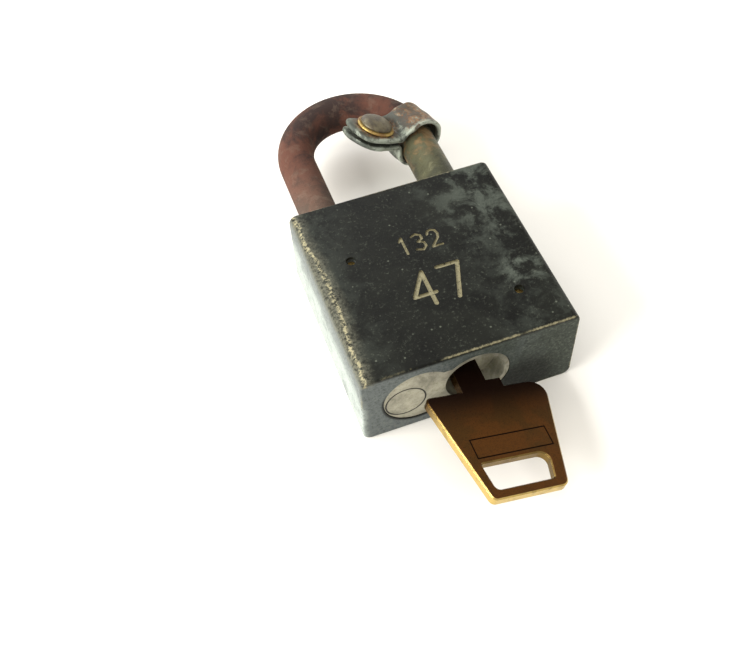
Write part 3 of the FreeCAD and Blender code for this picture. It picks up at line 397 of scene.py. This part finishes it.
def side_film(tree, spot, depth, mottle, stain):
    """Thinner film on the sides, with painted light: lighter blue towards the toe side,
    and palest on the toe-side face, which is also rubbed paler.
    """
    x, _, z = parts_of(tree, spot)
    # Painted light: dark on the heel side, lighter blue towards the toe side and the lamp.
    turn = reckon(tree, "MULTIPLY_ADD", mottle["Cloud"], SIDE_LIGHT_RAMP_WANDER, x)
    side = blend(tree, rise(tree, turn, *SIDE_LIGHT_RAMP_X), SIDE_DARK_SHADED, SIDE_BLUE_LIT)
    # Painted light: the toe-side face is painted pale where the lamp shines on it.
    clouded_depth = reckon(tree, "MULTIPLY_ADD", mottle["Cloud"], -TOE_SIDE_LIGHT_WANDER, depth)
    toe_side_light = times(tree, rise(tree, x, *TOE_SIDE_LIGHT_X), rise(tree, clouded_depth, *TOE_SIDE_LIGHT_DEPTH),
                 rise(tree, stain["Cloud"], -0.5, 0.6))
    side = blend(tree, toe_side_light, side, SIDE_PALE_LIT)
    side = blend(tree, rise(tree, stain["Grain"], 0.48, 0.70, 0.45), side, GREY_FILM)
    side = blend(tree, rise(tree, stain["Grain"], 0.50, 0.28, 0.30), side, CHALK_SPECK)
    # Darker in a patch on the bottom face, beside the plug and towards the back.
    bottom_dark = rise(tree, distance(tree, spot, BOTTOM_DARK_SPOT), *BOTTOM_DARK_REACH, 0.75)
    side = blend(tree, bottom_dark, side, BLACK_FILM_AND_SHADE)
    # The joint under the housing's toe-side lobe is painted black, as painted shade in its gap.
    out = reckon(tree, "SUBTRACT", x, LOBE_X)
    up = reckon(tree, "SUBTRACT", z, BODY_MIDDLE[2])
    under = rise(tree, reckon(tree, "MULTIPLY_ADD", out, LOBE_GAP_SHADE_SLANT, up),
                 *LOBE_GAP_SHADE_HEIGHT)
    joint = times(tree, rise(tree, reach(tree, out, up), *LOBE_GAP_SHADE_RADII), under, 0.9)
    return blend(tree, joint, side, BLACK_FILM_AND_SHADE)


def edge_distance(tree, spot):
    """Distance to the nearest edge: middle one of the distances to three pairs of faces."""
    gaps = [reckon(tree, "SUBTRACT", half, away(tree, part, middle))
            for part, middle, half in zip(parts_of(tree, spot), BODY_MIDDLE, BODY_HALF)]
    least = reckon(tree, "MINIMUM", gaps[0], gaps[1])
    most = reckon(tree, "MAXIMUM", gaps[0], gaps[1])
    return reckon(tree, "MAXIMUM", least, reckon(tree, "MINIMUM", most, gaps[2]))


def blackened_steel():
    """Oxide film with stains, specks, rubbed edges and pale stamped strokes."""
    material, tree, shader = new_finish("blackened_steel", Specular_IOR_Level=0.13)
    spot = place_on(tree)
    x, y, z = parts_of(tree, spot)
    depth = reckon(tree, "SUBTRACT", FRONT, z)
    mottle = weather(tree, MOTTLE_SIZE)
    stain = weather(tree, STAIN_SIZE, shift=(0.31, 0.12, 0.05))
    colour = blend(tree, rise(tree, depth, *FACE_DEPTH),
                   side_film(tree, spot, depth, mottle, stain),
                   face_film(tree, spot, mottle, stain))

    # Edges are rubbed raggedly, and more towards the heel side.
    ragged = reckon(tree, "MULTIPLY_ADD", stain["Grain"], RUB_RAGGED, edge_distance(tree, spot))
    patchy = rise(tree, reckon(tree, "MULTIPLY_ADD", x, RUB_PER_METRE, mottle["Cloud"]),
                  0.20, 0.75)
    rub = times(tree, rise(tree, ragged, *RUB_WIDTH), patchy, 0.8)
    # The toe-side long edge carries a broken streak of bare metal with a haze inside it.
    bow = rise(tree, reckon(tree, "ABSOLUTE", y), *STREAK_BOW_Y, STREAK_BOW)
    wander = reckon(tree, "MULTIPLY_ADD", mottle["Cloud"], STREAK_WANDER,
                    reckon(tree, "ADD", bow, BODY_LOW[0] + STREAK_FROM_EDGE))
    streak = times(tree, rise(tree, away(tree, x, wander), *STREAK_WIDTH),
                   rise(tree, stain["Grain"], 0.44, 0.60), rise(tree, depth, *STREAK_DEPTH))
    inward = reckon(tree, "SUBTRACT", x, wander)
    haze = times(tree, rise(tree, inward, *HAZE_WIDTH, 0.55),
                 rise(tree, stain["Grain"], 0.30, 0.62), rise(tree, depth, *HAZE_DEPTH))
    colour = blend(tree, haze, colour, WORN_HAZE)
    # Stamped strokes: everything a little under the face, away from the edges and holes.
    stroke = times(tree, rise(tree, depth, *STROKE_TOP_DEPTH),
                   rise(tree, depth, *STROKE_FOOT_DEPTH),
                   rise(tree, reckon(tree, "ABSOLUTE", x), *STROKES_X),
                   rise(tree, reckon(tree, "ABSOLUTE", y), *STROKES_Y),
                   rise(tree, stain["Grain"], 0.28, 0.50), 0.75)
    bare = largest(tree, rub, streak, stroke)
    colour = blend(tree, times(tree, bare, 0.9), colour, RUBBED_METAL)
    drive(tree, shader, Base_Color=colour, Metallic=times(tree, bare, 0.7),
          Roughness=reckon(tree, "MULTIPLY_ADD", stain["Grain"], 0.35, 0.30))
    relief(tree, shader, stain["Pits"], FILM_RELIEF, strength=0.8)
    return material


body_finish = blackened_steel()
for node in ("lock_body", "ball_hole_plug"):
    wear(node, body_finish)

# ---- The cylinder housing and the disc over its screw hole ----------------------------
# A figure-eight barrel die-cast in zinc and nickel plated, let into the bottom of the
# block, with a turned disc pressed in beside the plug. The plate has gone dull, with
# greenish-yellow stains, and dirt fills the joint round the disc.

DISC_LOW, DISC_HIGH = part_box("screw_hole_disc")
DISC_MIDDLE = middle_of(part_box("screw_hole_disc"))
DISC_RADIUS = (DISC_HIGH[0] - DISC_LOW[0]) / 2
DISC_JOINT = DISC_RADIUS + 0.00004
DISC_JOINT_WIDTH = (0.00028, 0.00012)
# The plug's painted shade: how soft its edge is, and how far past the plug's axis it reaches.
SHADE_SOFTNESS = 0.0008
PLUG_SHADE_OFFSET = 0.0012
PLATE_CLOUD = 0.006
PLATE_RELIEF = 0.00005
DULL_NICKEL = (0.43, 0.41, 0.32, 1.0)
GREY_NICKEL = (0.17, 0.165, 0.125, 1.0)
GREEN_STAIN = (0.17, 0.175, 0.085, 1.0)
DIRT_AND_SHADE_BLACK = (0.020, 0.018, 0.012, 1.0)


def joint_named(name):
    """The record's joint of that name."""
    return next(joint for joint in frame["record"]["behaviour"]["joints"]
                if joint["name"] == name)


def dull_nickel(name, shade_edge):
    """Pale plate, clouded and stained, with a dark ring in the joint round the disc.

    Painted shade: black covers everything to the toe side of shade_edge.
    """
    material, tree, shader = new_finish(name, Specular_IOR_Level=0.4)
    x, _, z = parts_of(tree, place_on(tree))
    cloud = weather(tree, PLATE_CLOUD, shift=(0.7, 0.2, 0.4))
    colour = blend(tree, cloud["Cloud"], GREY_NICKEL, DULL_NICKEL)
    colour = blend(tree, rise(tree, cloud["Grain"], 0.52, 0.72, 0.6), colour, GREEN_STAIN)
    colour = blend(tree, cloud["Speck"], colour, DIRT_AND_SHADE_BLACK)
    radius = reach(tree, reckon(tree, "SUBTRACT", x, DISC_MIDDLE[0]),
                   reckon(tree, "SUBTRACT", z, DISC_MIDDLE[2]))
    ring = rise(tree, away(tree, radius, DISC_JOINT), *DISC_JOINT_WIDTH)
    painted_shade = rise(tree, x, shade_edge + SHADE_SOFTNESS, shade_edge - SHADE_SOFTNESS)
    # Dark ring in the disc's joint, and painted shade to the toe side of shade_edge.
    dirt = largest(tree, ring, times(tree, painted_shade, 0.93))
    drive(tree, shader, Base_Color=blend(tree, dirt, colour, DIRT_AND_SHADE_BLACK),
          Metallic=reckon(tree, "MULTIPLY_ADD", dirt, -0.45, 0.5),
          Roughness=reckon(tree, "MULTIPLY_ADD", cloud["Grain"], 0.4, 0.2))
    relief(tree, shader, cloud["Pits"], PLATE_RELIEF, strength=0.6)
    return material


PLUG_X = joint_named("plug_turn")["pos_m"][0]
nickel_finish = dull_nickel("dull_nickel", BODY_LOW[0])
for node in ("cylinder_housing", "screw_hole_disc"):
    wear(node, nickel_finish)
# Painted shade: the plug's face is black on its toe side, where the bore's rim shades it.
wear("plug", dull_nickel("greasy_nickel", PLUG_X + PLUG_SHADE_OFFSET))

# ---- Pins, dowels and the other small parts inside ------------------------------------
# Brass pins and dowels turned from rod, music-wire springs, and ground steel balls,
# screw and actuator. All carry old oil, so their finishes are darker in patches.

OIL_PATCH = 0.004
OILED_RELIEF = 0.00003


def oiled_metal(name, clean, oiled, roughness):
    """Turned metal with a fine worked grain and brown oil in patches."""
    material, tree, shader = new_finish(name, Metallic=1.0)
    aged = weather(tree, OIL_PATCH, shift=(0.15, 0.9, 0.3))
    drive(tree, shader,
          Base_Color=blend(tree, rise(tree, aged["Cloud"], 0.35, 0.95), clean, oiled),
          Roughness=reckon(tree, "MULTIPLY_ADD", aged["Grain"], 0.3, roughness))
    relief(tree, shader, aged["Grain"], OILED_RELIEF, strength=0.5)
    return material


brass_finish = oiled_metal("turned_brass", clean=(0.72, 0.50, 0.17, 1.0),
                           oiled=(0.22, 0.12, 0.035, 1.0), roughness=0.22)
wire_finish = oiled_metal("music_wire", clean=(0.30, 0.30, 0.31, 1.0),
                          oiled=(0.10, 0.08, 0.06, 1.0), roughness=0.30)
ground_finish = oiled_metal("ground_steel", clean=(0.55, 0.55, 0.56, 1.0),
                            oiled=(0.22, 0.19, 0.15, 1.0), roughness=0.18)
for node in ("pin_chamber_cap", "driver_pins", "key_pins", "screw_lock_pin", "spring_stop_pin"):
    wear(node, brass_finish)
for node in ("pin_springs", "shackle_spring", "plug_clip"):
    wear(node, wire_finish)
for node in ("cylinder_screw", "spring_seat", "actuator", "toe_ball", "heel_ball"):
    wear(node, ground_finish)

# ---- The shackle ---------------------------------------------------------------------
# A 3/8 inch hardened bar bent round into a U. It has rusted all over to a dry red-brown,
# except on the heel leg below the clevis, which is rubbed to olive-grey metal.

RUST_PATCH, RUST_GRAIN = 0.011, 0.0035
TOE_WORN_X = (0.0, -0.008)
TOE_WORN_Y = (0.052, 0.026)
HEEL_BARE_X = (0.006, 0.010)
HEEL_BARE_Y = (0.057, 0.053)
HEEL_FLECK_Y = (0.034, 0.046)
RUST_RELIEF = 0.00016
RUST_DARK = (0.030, 0.017, 0.014, 1.0)
RUST_RED = (0.098, 0.038, 0.024, 1.0)
RUST_TAN = (0.150, 0.105, 0.076, 1.0)
RUST_ORANGE = (0.21, 0.090, 0.028, 1.0)
OLIVE_STEEL = (0.092, 0.090, 0.048, 1.0)
OLIVE_DARK = (0.045, 0.045, 0.028, 1.0)
OLIVE_PALE = (0.22, 0.21, 0.115, 1.0)


def rusted_bar():
    """Dry rust in three tones, with bare olive steel on the heel leg."""
    material, tree, shader = new_finish("rusted_bar", Specular_IOR_Level=0.25)
    x, y, _ = parts_of(tree, place_on(tree))
    broad = weather(tree, RUST_PATCH, shift=(0.4, 0.6, 0.2))
    fine = weather(tree, RUST_GRAIN, shift=(0.1, 0.3, 0.7))
    rust = blend(tree, rise(tree, broad["Cloud"], 0.05, 0.75), RUST_DARK, RUST_RED)
    worn = times(tree, rise(tree, y, *TOE_WORN_Y), rise(tree, x, *TOE_WORN_X))
    tan = reckon(tree, "MULTIPLY_ADD", worn, 0.55, rise(tree, fine["Cloud"], 0.55, 1.0, 0.28))
    rust = blend(tree, tan, rust, RUST_TAN)
    rust = blend(tree, rise(tree, fine["Grain"], 0.50, 0.72, 0.5), rust, RUST_DARK)
    steel = blend(tree, rise(tree, broad["Cloud"], 0.1, 1.0), OLIVE_DARK, OLIVE_STEEL)
    fleck = times(tree, rise(tree, fine["Cloud"], 0.45, 0.9, 0.7), rise(tree, y, *HEEL_FLECK_Y))
    steel = blend(tree, fleck, steel, RUST_ORANGE)
    steel = blend(tree, rise(tree, fine["Cloud"], 0.6, 1.0, 0.35), steel, OLIVE_PALE)
    bare = times(tree, rise(tree, x, *HEEL_BARE_X), rise(tree, y, *HEEL_BARE_Y))
    drive(tree, shader, Base_Color=blend(tree, bare, rust, steel),
          Metallic=times(tree, bare, 0.45),
          Roughness=reckon(tree, "MULTIPLY_ADD", bare, -0.38, 0.84))
    relief(tree, shader, fine["Pits"], RUST_RELIEF, strength=0.9)
    return material


wear("shackle", rusted_bar())

# ---- The clevis strap ----------------------------------------------------------------
# A strip of zinc-plated steel bent round the heel leg by hand, so its band is loose and
# out of round. Its two ears close on each other for the rivet, and their edges are bright.

CLEVIS_JOINT = joint_named("clevis_swing")
CLEVIS_CENTRE = np.array(CLEVIS_JOINT["pos_m"])
CLEVIS_ROLL = math.radians(27.0)
RIVET_REACH = 0.0120
STRAP_THICK = 0.00112
STRAP_LOW = -0.0063
BAND_HIGH = 0.0031
BAND_RADIUS = 0.00652
EAR_HIGH = 0.0051
EAR_START = 0.0055
EAR_SHOULDER = 0.005
EAR_REACH = 0.0190
EAR_HEIGHT = 0.00108
EAR_OUTER_CORNER = 0.0060
EAR_INNER_CORNER = 0.0022
EDGE_ROUND = 0.00040
EAR_POINTS, BAND_POINTS, STRAP_STATIONS = 120, 300, 240
SMOOTHINGS = 60
FACE_STEPS, EDGE_STEPS = 26, 5
# Steps past each end, as parts of the edge's roundness, in which the thickness closes.
CLOSING = np.array([0.0, 0.45, 0.8, 1.0])
# Height, waves along the strip and start of each wave in its edges.
EDGE_WAVES = ((0.00016, 620.0, 0.0), (0.00012, 1370.0, 1.0))
LOWER_EDGE_SHARE = 0.8
# Height, waves along the strip, waves across it and start of each dent.
DENTS = ((0.00011, 410.0, 300.0, 0.0), (0.00008, 930.0, -520.0, 2.0),
         (0.00006, 260.0, 1400.0, 0.0))

clevis_along = np.array(CLEVIS_JOINT["axis"])
level = np.array([-clevis_along[1], clevis_along[0], 0.0])
clevis_out = level * math.cos(CLEVIS_ROLL) + np.array([0.0, 0.0, 1.0]) * math.sin(CLEVIS_ROLL)
clevis_up = np.cross(clevis_along, clevis_out)


def on_clevis(out, up, along):
    """Points given along the ears, up through them and along the bar, in the lock's frame."""
    return (CLEVIS_CENTRE + out[..., None] * clevis_out + up[..., None] * clevis_up
            + along[..., None] * clevis_along)


def strap_line():
    """Middle line of the strip seen along the bar: lower ear, round the band, upper ear.

    Straight ears and a circle are joined and then smoothed by repeated averaging of
    neighbours, which turns the two sharp joins into bends, and the line is stepped evenly.
    """
    join = math.asin(EAR_HEIGHT / BAND_RADIUS)
    ear = np.linspace(EAR_REACH, BAND_RADIUS * math.cos(join), EAR_POINTS)
    angle = np.linspace(2 * math.pi - join, join, BAND_POINTS)[1:-1]
    out = np.concatenate([ear, BAND_RADIUS * np.cos(angle), ear[::-1]])
    up = np.concatenate([np.full(EAR_POINTS, -EAR_HEIGHT), BAND_RADIUS * np.sin(angle),
                         np.full(EAR_POINTS, EAR_HEIGHT)])
    for _ in range(SMOOTHINGS):
        out[1:-1] = (out[:-2] + 2 * out[1:-1] + out[2:]) / 4
        up[1:-1] = (up[:-2] + 2 * up[1:-1] + up[2:]) / 4
    length = np.concatenate([[0.0], np.cumsum(np.hypot(np.diff(out), np.diff(up)))])
    even = np.linspace(0.0, length[-1], STRAP_STATIONS)
    return np.interp(even, length, out), np.interp(even, length, up), even


def strap_section():
    """Once round the strip's section: fraction of the width, fraction of the edge round,
    and fraction of half the thickness."""
    flat = np.linspace(-1.0, 1.0, FACE_STEPS)
    turn = np.linspace(math.pi / 2, -math.pi / 2, EDGE_STEPS + 2)[1:-1]
    width = np.concatenate([flat, np.ones(EDGE_STEPS), flat[::-1], -np.ones(EDGE_STEPS)])
    edge = np.concatenate([np.zeros(FACE_STEPS), np.cos(turn),
                           np.zeros(FACE_STEPS), -np.cos(turn)])
    face = np.concatenate([np.ones(FACE_STEPS), np.sin(turn),
                           -np.ones(FACE_STEPS), -np.sin(turn)])
    return width, edge, face


def corner_cut(from_end, radius):
    """How far a round corner draws an edge in, at a distance from the end of the ear."""
    inside = np.clip(radius - from_end, 0.0, radius)
    return radius - np.sqrt(radius ** 2 - inside ** 2)


def strap_surface():
    """The strip's section carried along its middle line.

    The width grows from the band to the ears by a smooth step and narrows at both ends
    with the ears' round corners. Slow waves dent the strip across its thickness and make
    its edges wander. Past each end, the thickness shrinks to nothing as a parabola.
    """
    out, up, run = strap_line()
    slope_out, slope_up = np.gradient(out), np.gradient(up)
    size = np.hypot(slope_out, slope_up)
    past = np.concatenate([-CLOSING[::-1], np.zeros(STRAP_STATIONS), CLOSING])
    out, up, run, slope_out, slope_up = (
        np.pad(line, len(CLOSING), mode="edge")
        for line in (out, up, run, slope_out / size, slope_up / size))
    out, up = out + EDGE_ROUND * past * slope_out, up + EDGE_ROUND * past * slope_up

    from_end = np.minimum(run, run[-1] - run)
    edge_wave = sum(height * np.sin(run * waves + start) for height, waves, start in EDGE_WAVES)
    to_ear = np.clip((EAR_REACH - EAR_START - from_end) / EAR_SHOULDER + 0.5, 0.0, 1.0)
    to_ear = to_ear * to_ear * (3.0 - 2.0 * to_ear)
    high = (BAND_HIGH + (EAR_HIGH - BAND_HIGH) * to_ear
            - corner_cut(from_end, EAR_INNER_CORNER) + edge_wave)
    low = (STRAP_LOW + corner_cut(from_end, EAR_OUTER_CORNER)
           + LOWER_EDGE_SHARE * edge_wave[::-1])

    width, edge, face = strap_section()
    middle, half = (high + low) / 2, (high - low) / 2 - EDGE_ROUND
    thin = (1.0 - past ** 2)[:, None]
    along = middle[:, None] + half[:, None] * width + EDGE_ROUND * edge * thin
    dent = sum(height * np.sin(run[:, None] * waves + along * waves_across + start)
               for height, waves, waves_across, start in DENTS)
    lift = STRAP_THICK / 2 * face * thin + dent
    return on_clevis(out[:, None] - slope_up[:, None] * lift,
                     up[:, None] + slope_out[:, None] * lift, along)


ZINC_GREY = (0.072, 0.082, 0.062, 1.0)
ZINC_PALE = (0.38, 0.42, 0.34, 1.0)
ZINC_DARK = (0.035, 0.042, 0.033, 1.0)
STRAP_RUST = (0.070, 0.034, 0.012, 1.0)
ZINC_PATCH, ZINC_GRAIN = 0.006, 0.0028
PALE_EDGE = (STRAP_LOW + 0.0026, STRAP_LOW + 0.0016)
PALE_EDGE_RAGGED = 0.0026
BACK_RUST_UP = (0.0015, 0.0050)
BACK_RUST_OUT = (0.0065, 0.0045)
EAR_RUST_UP = (-0.0005, 0.0005)
EAR_RUST_REACH = (0.0068, 0.0050)
ZINC_RELIEF = 0.00012


def rusty_zinc():
    """Grey zinc with chalky patches, and orange rust where the plate is broken."""
    material, tree, shader = new_finish("rusty_zinc", Specular_IOR_Level=0.5)
    broad = weather(tree, ZINC_PATCH, shift=(0.5, 0.1, 0.9))
    fine = weather(tree, ZINC_GRAIN, shift=(0.8, 0.4, 0.1))
    from_centre = add(tree, "ShaderNodeVectorMath", {0: place_on(tree), 1: tuple(CLEVIS_CENTRE)},
                      operation="SUBTRACT").outputs[0]
    out, up, along = [add(tree, "ShaderNodeVectorMath", {0: from_centre, 1: tuple(way)},
                          operation="DOT_PRODUCT").outputs["Value"]
                      for way in (clevis_out, clevis_up, clevis_along)]
    from_rivet = reach(tree, reckon(tree, "SUBTRACT", out, RIVET_REACH), along)
    colour = blend(tree, broad["Cloud"], ZINC_DARK, ZINC_GREY)
    colour = blend(tree, rise(tree, fine["Cloud"], 0.42, 0.95, 0.6), colour, ZINC_PALE)
    on_back = times(tree, rise(tree, up, *BACK_RUST_UP), rise(tree, out, *BACK_RUST_OUT))
    on_ear = times(tree, rise(tree, up, *EAR_RUST_UP), rise(tree, from_rivet, *EAR_RUST_REACH))
    rusty = times(tree, rise(tree, broad["Grain"], 0.38, 0.54), largest(tree, on_back, on_ear), 0.9)
    brown = blend(tree, rise(tree, fine["Cloud"], 0.35, 0.75), STRAP_RUST, RUST_ORANGE)
    colour = blend(tree, rusty, colour, brown)
    ragged = reckon(tree, "MULTIPLY_ADD", fine["Grain"], PALE_EDGE_RAGGED, along)
    edge = times(tree, rise(tree, ragged, *PALE_EDGE), rise(tree, fine["Cloud"], 0.0, 0.5, 0.9))
    colour = blend(tree, edge, colour, ZINC_PALE)
    dirt = rise(tree, fine["Grain"], 0.55, 0.75, 0.6)
    drive(tree, shader, Base_Color=blend(tree, dirt, colour, RUST_DARK),
          Metallic=rise(tree, fine["Cloud"], 0.3, 0.9, 0.45),
          Roughness=reckon(tree, "MULTIPLY_ADD", fine["Grain"], 0.4, 0.28))
    relief(tree, shader, fine["Pits"], ZINC_RELIEF, strength=0.9)
    return material


strap = set_out("bent_strap", grid_mesh("bent_strap", strap_surface(), ring=True), rusty_zinc())
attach(strap, "clevis")
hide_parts("clevis_strap")

# ---- The clevis rivet and its washer --------------------------------------------------
# A steel rivet through both ears, closed with a hammer: its head is a low uneven dome on
# a brass washer, and its tail is spread flat under the lower ear.

HEAD_RADIUS = 0.0042
HEAD_BASE, HEAD_RIM = 0.00243, 0.0003
HEAD_RISE = 0.00185
HEAD_FULLNESS = 0.92
SHANK_RADIUS = 0.0019
TAIL_RADIUS = 0.0031
TAIL_TOP, TAIL_FOOT = -0.00172, -0.00262
WASHER_LOW, WASHER_HIGH = 0.00172, 0.00240
WASHER_HOLE, WASHER_RADIUS = 0.00210, 0.00490
TURN_STEPS, DOME_STEPS, SECTION_STEPS = 72, 16, 21
RIVET_UNEVEN, WASHER_UNEVEN = 0.012, 0.008
# Share, waves to the turn and start of each wave in the radius, and of the one in height.
SWELLS = ((1.0, 2, 0.6), (0.5, 5, 2.0))
TIP_SHARE, TIP_WAVES, TIP_START = 0.15, 3, 1.0
FLAT_POWER, TALL_POWER = 0.35, 0.6
PATINA_PATCH = 0.0032
PATINA_RELIEF = 0.00008


def turned_surface(radius, height, uneven):
    """A profile of radii and heights turned round the rivet's line.

    The radius swells and shrinks a little with two and five waves to the turn, and the
    height tips by three waves that grow with the radius.
    """
    turn = np.linspace(0.0, 2 * math.pi, TURN_STEPS, endpoint=False)[None, :]
    swell = sum(share * np.sin(waves * turn + start) for share, waves, start in SWELLS)
    spread = radius[:, None] * (1.0 + uneven * swell)
    tip = uneven * TIP_SHARE * radius[:, None] * np.sin(TIP_WAVES * turn + TIP_START)
    return on_clevis(RIVET_REACH + spread * np.cos(turn), height[:, None] + tip,
                     spread * np.sin(turn))


def dome_profile():
    """Pole, low dome, rounded rim, underside, shank, spread tail and lower pole.

    The dome's radius is a sine to a power a little under one, and its height a cosine.
    """
    slope = np.linspace(0.0, math.pi / 2, DOME_STEPS)
    dome_radius = HEAD_RADIUS * np.sin(slope) ** HEAD_FULLNESS
    dome_height = HEAD_BASE + HEAD_RIM + (HEAD_RISE - HEAD_RIM) * np.cos(slope)
    below = np.array([[HEAD_RADIUS * 0.995, HEAD_BASE + 0.4 * HEAD_RIM],   # rim
                      [HEAD_RADIUS * 0.96, HEAD_BASE],                     # underside
                      [SHANK_RADIUS, HEAD_BASE],                           # shank
                      [SHANK_RADIUS, TAIL_TOP],
                      [TAIL_RADIUS * 0.95, TAIL_TOP],                      # tail
                      [TAIL_RADIUS, (TAIL_TOP + TAIL_FOOT) / 2],
                      [TAIL_RADIUS * 0.9, TAIL_FOOT + 0.0001],
                      [0.0, TAIL_FOOT]])                                   # lower pole
    return (np.concatenate([dome_radius, below[:, 0]]),
            np.concatenate([dome_height, below[:, 1]]))


def washer_profile():
    """Ring section with rounded corners, once round and back to its start.

    It is a superellipse: cosine and sine, each to a power under one, with its sign kept.
    """
    turn = np.linspace(0.0, 2 * math.pi, SECTION_STEPS)
    flat = np.sign(np.cos(turn)) * np.abs(np.cos(turn)) ** FLAT_POWER
    tall = np.sign(np.sin(turn)) * np.abs(np.sin(turn)) ** TALL_POWER
    return ((WASHER_RADIUS + WASHER_HOLE) / 2 + (WASHER_RADIUS - WASHER_HOLE) / 2 * flat,
            (WASHER_LOW + WASHER_HIGH) / 2 + (WASHER_HIGH - WASHER_LOW) / 2 * tall)


def patina(name, base, dark, rust, metallic):
    """Handled metal: dark patches, rust in its grain and small pits."""
    material, tree, shader = new_finish(name)
    aged = weather(tree, PATINA_PATCH, shift=(0.25, 0.75, 0.5))
    colour = blend(tree, rise(tree, aged["Cloud"], 0.2, 0.9), dark, base)
    colour = blend(tree, rise(tree, aged["Grain"], 0.50, 0.70, 0.7), colour, rust)
    drive(tree, shader, Base_Color=colour,
          Metallic=rise(tree, aged["Cloud"], 0.2, 0.8, metallic),
          Roughness=reckon(tree, "MULTIPLY_ADD", aged["Grain"], 0.4, 0.22))
    relief(tree, shader, aged["Pits"], PATINA_RELIEF, strength=0.8)
    return material


rivet_finish = patina("rivet_patina", base=(0.125, 0.108, 0.064, 1.0),
                      dark=(0.040, 0.030, 0.017, 1.0), rust=(0.085, 0.042, 0.016, 1.0),
                      metallic=0.4)
washer_finish = patina("washer_brass", base=(0.50, 0.36, 0.11, 1.0),
                       dark=(0.20, 0.11, 0.03, 1.0), rust=(0.22, 0.09, 0.02, 1.0),
                       metallic=0.7)
rivet_points = turned_surface(*dome_profile(), RIVET_UNEVEN)
rivet = set_out("hammered_rivet", grid_mesh("hammered_rivet", rivet_points, ring=True),
                rivet_finish)
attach(rivet, "clevis")
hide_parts("clevis_rivet")
washer_points = turned_surface(*washer_profile(), WASHER_UNEVEN)
washer = set_out("brass_washer", grid_mesh("brass_washer", washer_points, ring=True),
                 washer_finish)
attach(washer, "clevis")
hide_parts("clevis_washer")

# ---- The key -------------------------------------------------------------------------
# Stamped from brass sheet and cut, with a thin panel line engraved on the bow. Its faces
# have tarnished dark brown. Its edges are rubbed to bright brass in pockets and on rings,
# and carry a painted highlight as well; near the lock the key is painted dark as painted
# shade from the bore.

KEYWAY_TILT = math.radians(15.4)
KEY_HALF_THICK = 0.00115
SKIN_DEPTH = (0.00012, 0.00003)
LINE_DEPTH = (0.00055, 0.00045)
PANEL_Y = -0.04365
PANEL_WIDE = (0.0095, 0.0093)
PANEL_HIGH = (0.00275, 0.00255)
SLOT_X = (0.0098, 0.0092)
SLOT_Y = (-0.0544, -0.0538)
BORE_SHADE_Y = (-0.0400, -0.0290)
TARNISH_PATCH, TARNISH_GRAIN = 0.009, 0.0030
KEY_RELIEF = 0.00004
BRIGHT_BRASS_AND_HIGHLIGHT = (0.54, 0.39, 0.13, 1.0)
BROWN_BRASS = (0.064, 0.028, 0.005, 1.0)
DARK_BRASS_AND_SHADE = (0.010, 0.003, 0.001, 1.0)
RED_BRASS = (0.088, 0.032, 0.005, 1.0)


def key_brass():
    """Brown tarnish on the two faces, bright brass with a painted highlight on every edge,
    and painted shade near the lock.
    """
    material, tree, shader = new_finish("key_brass", Specular_IOR_Level=0.15)
    flat = add(tree, "ShaderNodeMapping",
               {"Vector": place_on(tree), "Location": (PLUG_X, 0.0, BODY_MIDDLE[2]),
                "Rotation": (0.0, KEYWAY_TILT, 0.0)}, vector_type="TEXTURE").outputs[0]
    x, y, z = parts_of(tree, flat)
    aside = reckon(tree, "ABSOLUTE", x)
    under = reckon(tree, "SUBTRACT", KEY_HALF_THICK, reckon(tree, "ABSOLUTE", z))
    broad = weather(tree, TARNISH_PATCH, shift=(0.9, 0.3, 0.6))
    fine = weather(tree, TARNISH_GRAIN, shift=(0.2, 0.5, 0.8))
    # The engraved line counts as face, though it lies under the skin.
    skin = rise(tree, under, *SKIN_DEPTH)
    panel = times(tree, rise(tree, away(tree, y, PANEL_Y), *PANEL_HIGH),
                  rise(tree, aside, *PANEL_WIDE))
    face = largest(tree, skin, times(tree, rise(tree, under, *LINE_DEPTH), panel))
    scribed = times(tree, panel, reckon(tree, "SUBTRACT", 1.0, skin))
    # Painted shade: the key goes dark near the lock, where the bore shades it.
    bore_shade = rise(tree, y, *BORE_SHADE_Y)
    tarnish = blend(tree, rise(tree, broad["Cloud"], 0.1, 0.9), BROWN_BRASS, RED_BRASS)
    tarnish = blend(tree, rise(tree, fine["Grain"], 0.45, 0.70, 0.55), tarnish, DARK_BRASS_AND_SHADE)
    tarnish = blend(tree, bore_shade, tarnish, DARK_BRASS_AND_SHADE)
    tarnish = blend(tree, scribed, tarnish, DARK_BRASS_AND_SHADE)
    # Painted highlight: every edge is bright brass, partly rubbed metal and partly painted light.
    rim = blend(tree, rise(tree, fine["Cloud"], 0.5, 1.0, 0.35), BRIGHT_BRASS_AND_HIGHLIGHT, BROWN_BRASS)
    rim = blend(tree, bore_shade, rim, BROWN_BRASS)
    # The slot's walls get no painted highlight and stay brown.
    slot_wall = times(tree, rise(tree, y, *SLOT_Y), rise(tree, aside, *SLOT_X), 0.75)
    rim = blend(tree, slot_wall, rim, BROWN_BRASS)
    drive(tree, shader, Base_Color=blend(tree, face, rim, tarnish),
          Metallic=reckon(tree, "MULTIPLY_ADD", face, -0.35, 0.95),
          Roughness=reckon(tree, "MULTIPLY_ADD", face, 0.20, 0.24))
    relief(tree, shader, fine["Pits"], KEY_RELIEF, strength=0.6)
    return material


wear("key", key_brass())
